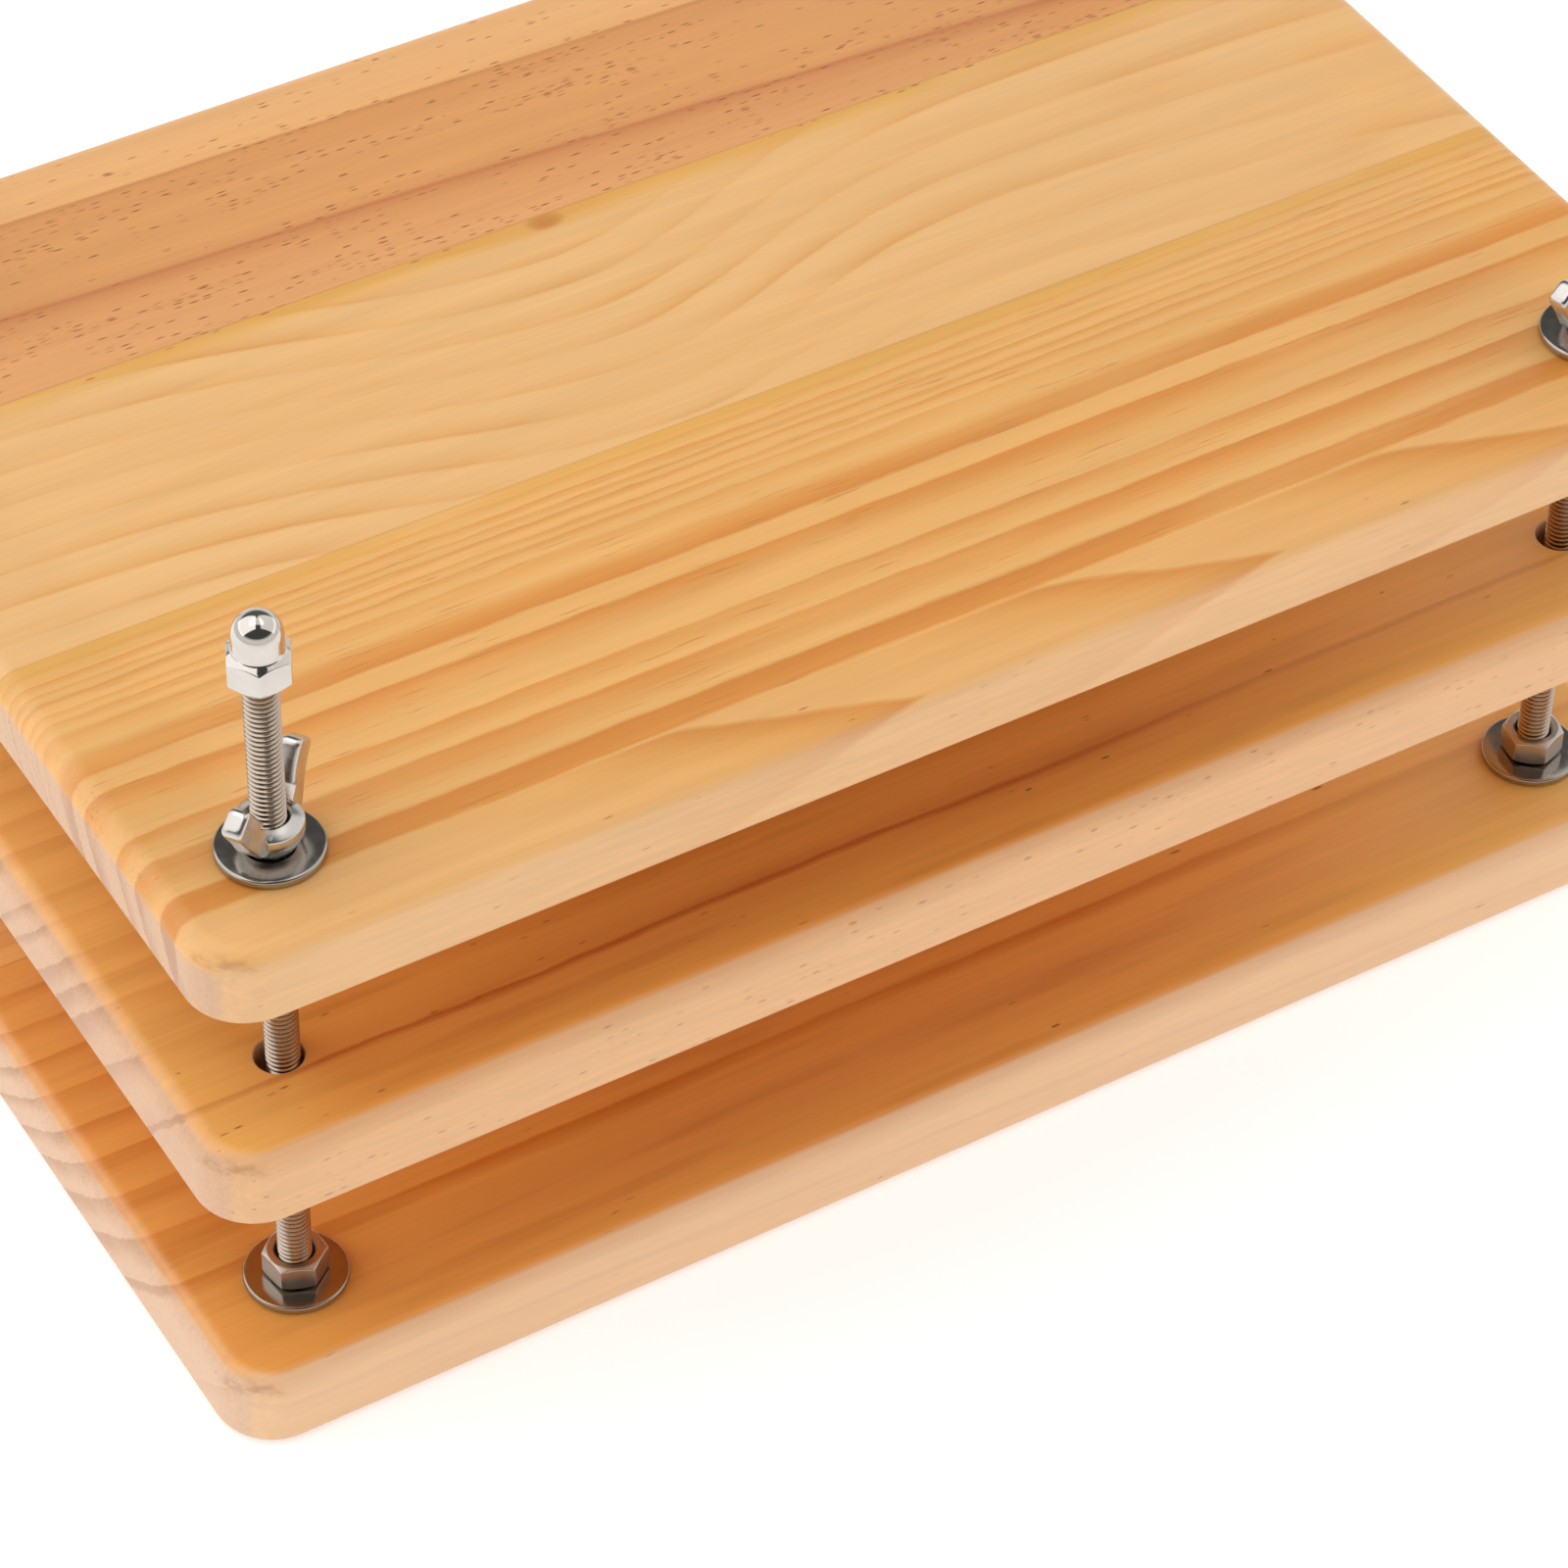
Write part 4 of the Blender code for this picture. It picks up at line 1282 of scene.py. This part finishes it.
def floor_finish():
    """White paper on a light table: it takes the shadow like any surface, and glows a little. To the
    camera its glow rises to 1 far from the press, where the lamps' light runs out."""
    material = bpy.data.materials.new("white_table")
    nodes = Nodes(material)
    paper = nodes.fed(nodes.node("ShaderNodeBsdfDiffuse"), (TABLE_WHITE, TABLE_WHITE, TABLE_WHITE, 1))
    away = nodes.fed(nodes.node("ShaderNodeVectorMath", operation="LENGTH"), nodes.coords("Object"))
    seen = nodes.step(away.outputs["Value"], *FAR_REACH, TABLE_GLOW["Is Camera Ray"], 1.0)
    glow = nodes.node("ShaderNodeEmission")
    nodes.feed(glow.inputs["Strength"], by_ray(nodes, TABLE_GLOW | {"Is Camera Ray": seen}))
    both = nodes.fed(nodes.node("ShaderNodeAddShader"), paper.outputs[0], glow.outputs[0])
    nodes.fed(nodes.node("ShaderNodeOutputMaterial"), both.outputs[0])
    return material


floor_mesh = raw_mesh(
    "floor",
    np.array([(-1, -1, 0), (1, -1, 0), (1, 1, 0), (-1, 1, 0)]) * FLOOR_HALF - (0, 0, FLOOR_DROP),
    np.array([[0, 1, 2, 3]]),
)
floor = placed("floor", floor_mesh)
floor_mesh.materials.append(floor_finish())
print("floor ready")

# %% Room and lamps
ROOM_FILL = 0.16
ROOM_LOW = 1.90
BEHIND = (0.42, 0.91, 0.0)
LAMP_AIM = Vector((0, 0, 0.1))


def room():
    """White for the camera and a faint even fill of light; mirrors see a white horizon under a room
    that is dark behind the camera, grey at the back and white overhead, as far as the camera."""
    world = bpy.data.worlds.new("studio")
    bpy.context.scene.world = world
    nodes = Nodes(world)
    way = nodes.coords("Generated")
    up = nodes.parts(way)[2]
    behind = nodes.node("ShaderNodeVectorMath", operation="DOT_PRODUCT")
    behind = nodes.fed(behind, way, BEHIND).outputs["Value"]
    walls = nodes.step(behind, -0.3, 0.8, 0.08, 0.15)
    horizon = nodes.step(up, 0.20, 0.42, 1.0, 0.0)
    ceiling = nodes.times(nodes.step(up, 0.84, 0.93), nodes.step(behind, -0.22, -0.06))
    mirror = nodes.sum("MAXIMUM", nodes.sum("MAXIMUM", walls, horizon), ceiling)
    light = nodes.node("ShaderNodeBackground")
    nodes.feed(light.inputs["Strength"], by_ray(nodes, {
        "Is Camera Ray": 1.0, "Is Glossy Ray": mirror, "Is Transmission Ray": 1.0,
        "Is Diffuse Ray": nodes.step(up, 0.36, 0.62, ROOM_LOW, ROOM_FILL),
    }))
    nodes.fed(nodes.node("ShaderNodeOutputWorld"), light.outputs[0])


def soft_box(name, heading, height, distance, size, watts, in_mirrors=True):
    """A square lamp of that width, seen from the press at a heading and height in degrees, that looks
    at the press; the camera itself never sees it."""
    lamp = bpy.data.lights.new(name, "AREA")
    lamp.shape = "SQUARE"
    lamp.size = size
    lamp.energy = watts
    holder = placed(name, lamp)
    heading, height = math.radians(heading), math.radians(height)
    way = Vector((
        math.cos(heading) * math.cos(height), math.sin(heading) * math.cos(height), math.sin(height),
    ))
    holder.location = way * distance + LAMP_AIM
    holder.rotation_euler = way.to_track_quat("Z", "Y").to_euler()
    holder.visible_camera = False
    holder.visible_glossy = in_mirrors


room()
soft_box("left_box", 152, 50, 1.3, 1.7, 11.2)
soft_box("right_box", -14, 48, 1.3, 1.7, 7.2)
soft_box("overhead", 240, 84, 1.8, 1.2, 2.6, in_mirrors=False)
print("lamps ready")

# %% [markdown]
# ## Camera
# The camera stands in front and to the left, and looks down at the press through a long lens. Its
# place and turn were found by fitting the board edges and the rods to the photograph.

# %% Camera
LENS = 134.12
SENSOR_WIDTH = 36
NEAR_CLIP = 0.01
EYE = (-0.405445, -0.678532, 0.762354)
YAW, PITCH_DOWN, ROLL = (math.radians(angle) for angle in (31.771, 43.843, 1.357))


def camera_turn():
    """Columns are the picture's right, its up and the way back to the eye, by yaw, pitch and roll."""
    ahead = math.cos(PITCH_DOWN)
    forward = Vector((math.sin(YAW) * ahead, math.cos(YAW) * ahead, -math.sin(PITCH_DOWN)))
    level = Vector((math.cos(YAW), -math.sin(YAW), 0))
    upright = level.cross(forward)
    right = math.cos(ROLL) * level + math.sin(ROLL) * upright
    up = -math.sin(ROLL) * level + math.cos(ROLL) * upright
    return Matrix((right, up, -forward)).transposed()


camera_data = bpy.data.cameras.new("camera")
camera_data.sensor_width = SENSOR_WIDTH
camera_data.lens = LENS
camera_data.clip_start = NEAR_CLIP
camera = placed("camera", camera_data)
camera.matrix_world = Matrix.Translation(EYE) @ camera_turn().to_4x4()
bpy.context.scene.camera = camera
bpy.context.scene.view_settings.view_transform = "Standard"
print("camera at", EYE, "lens", LENS, "mm")
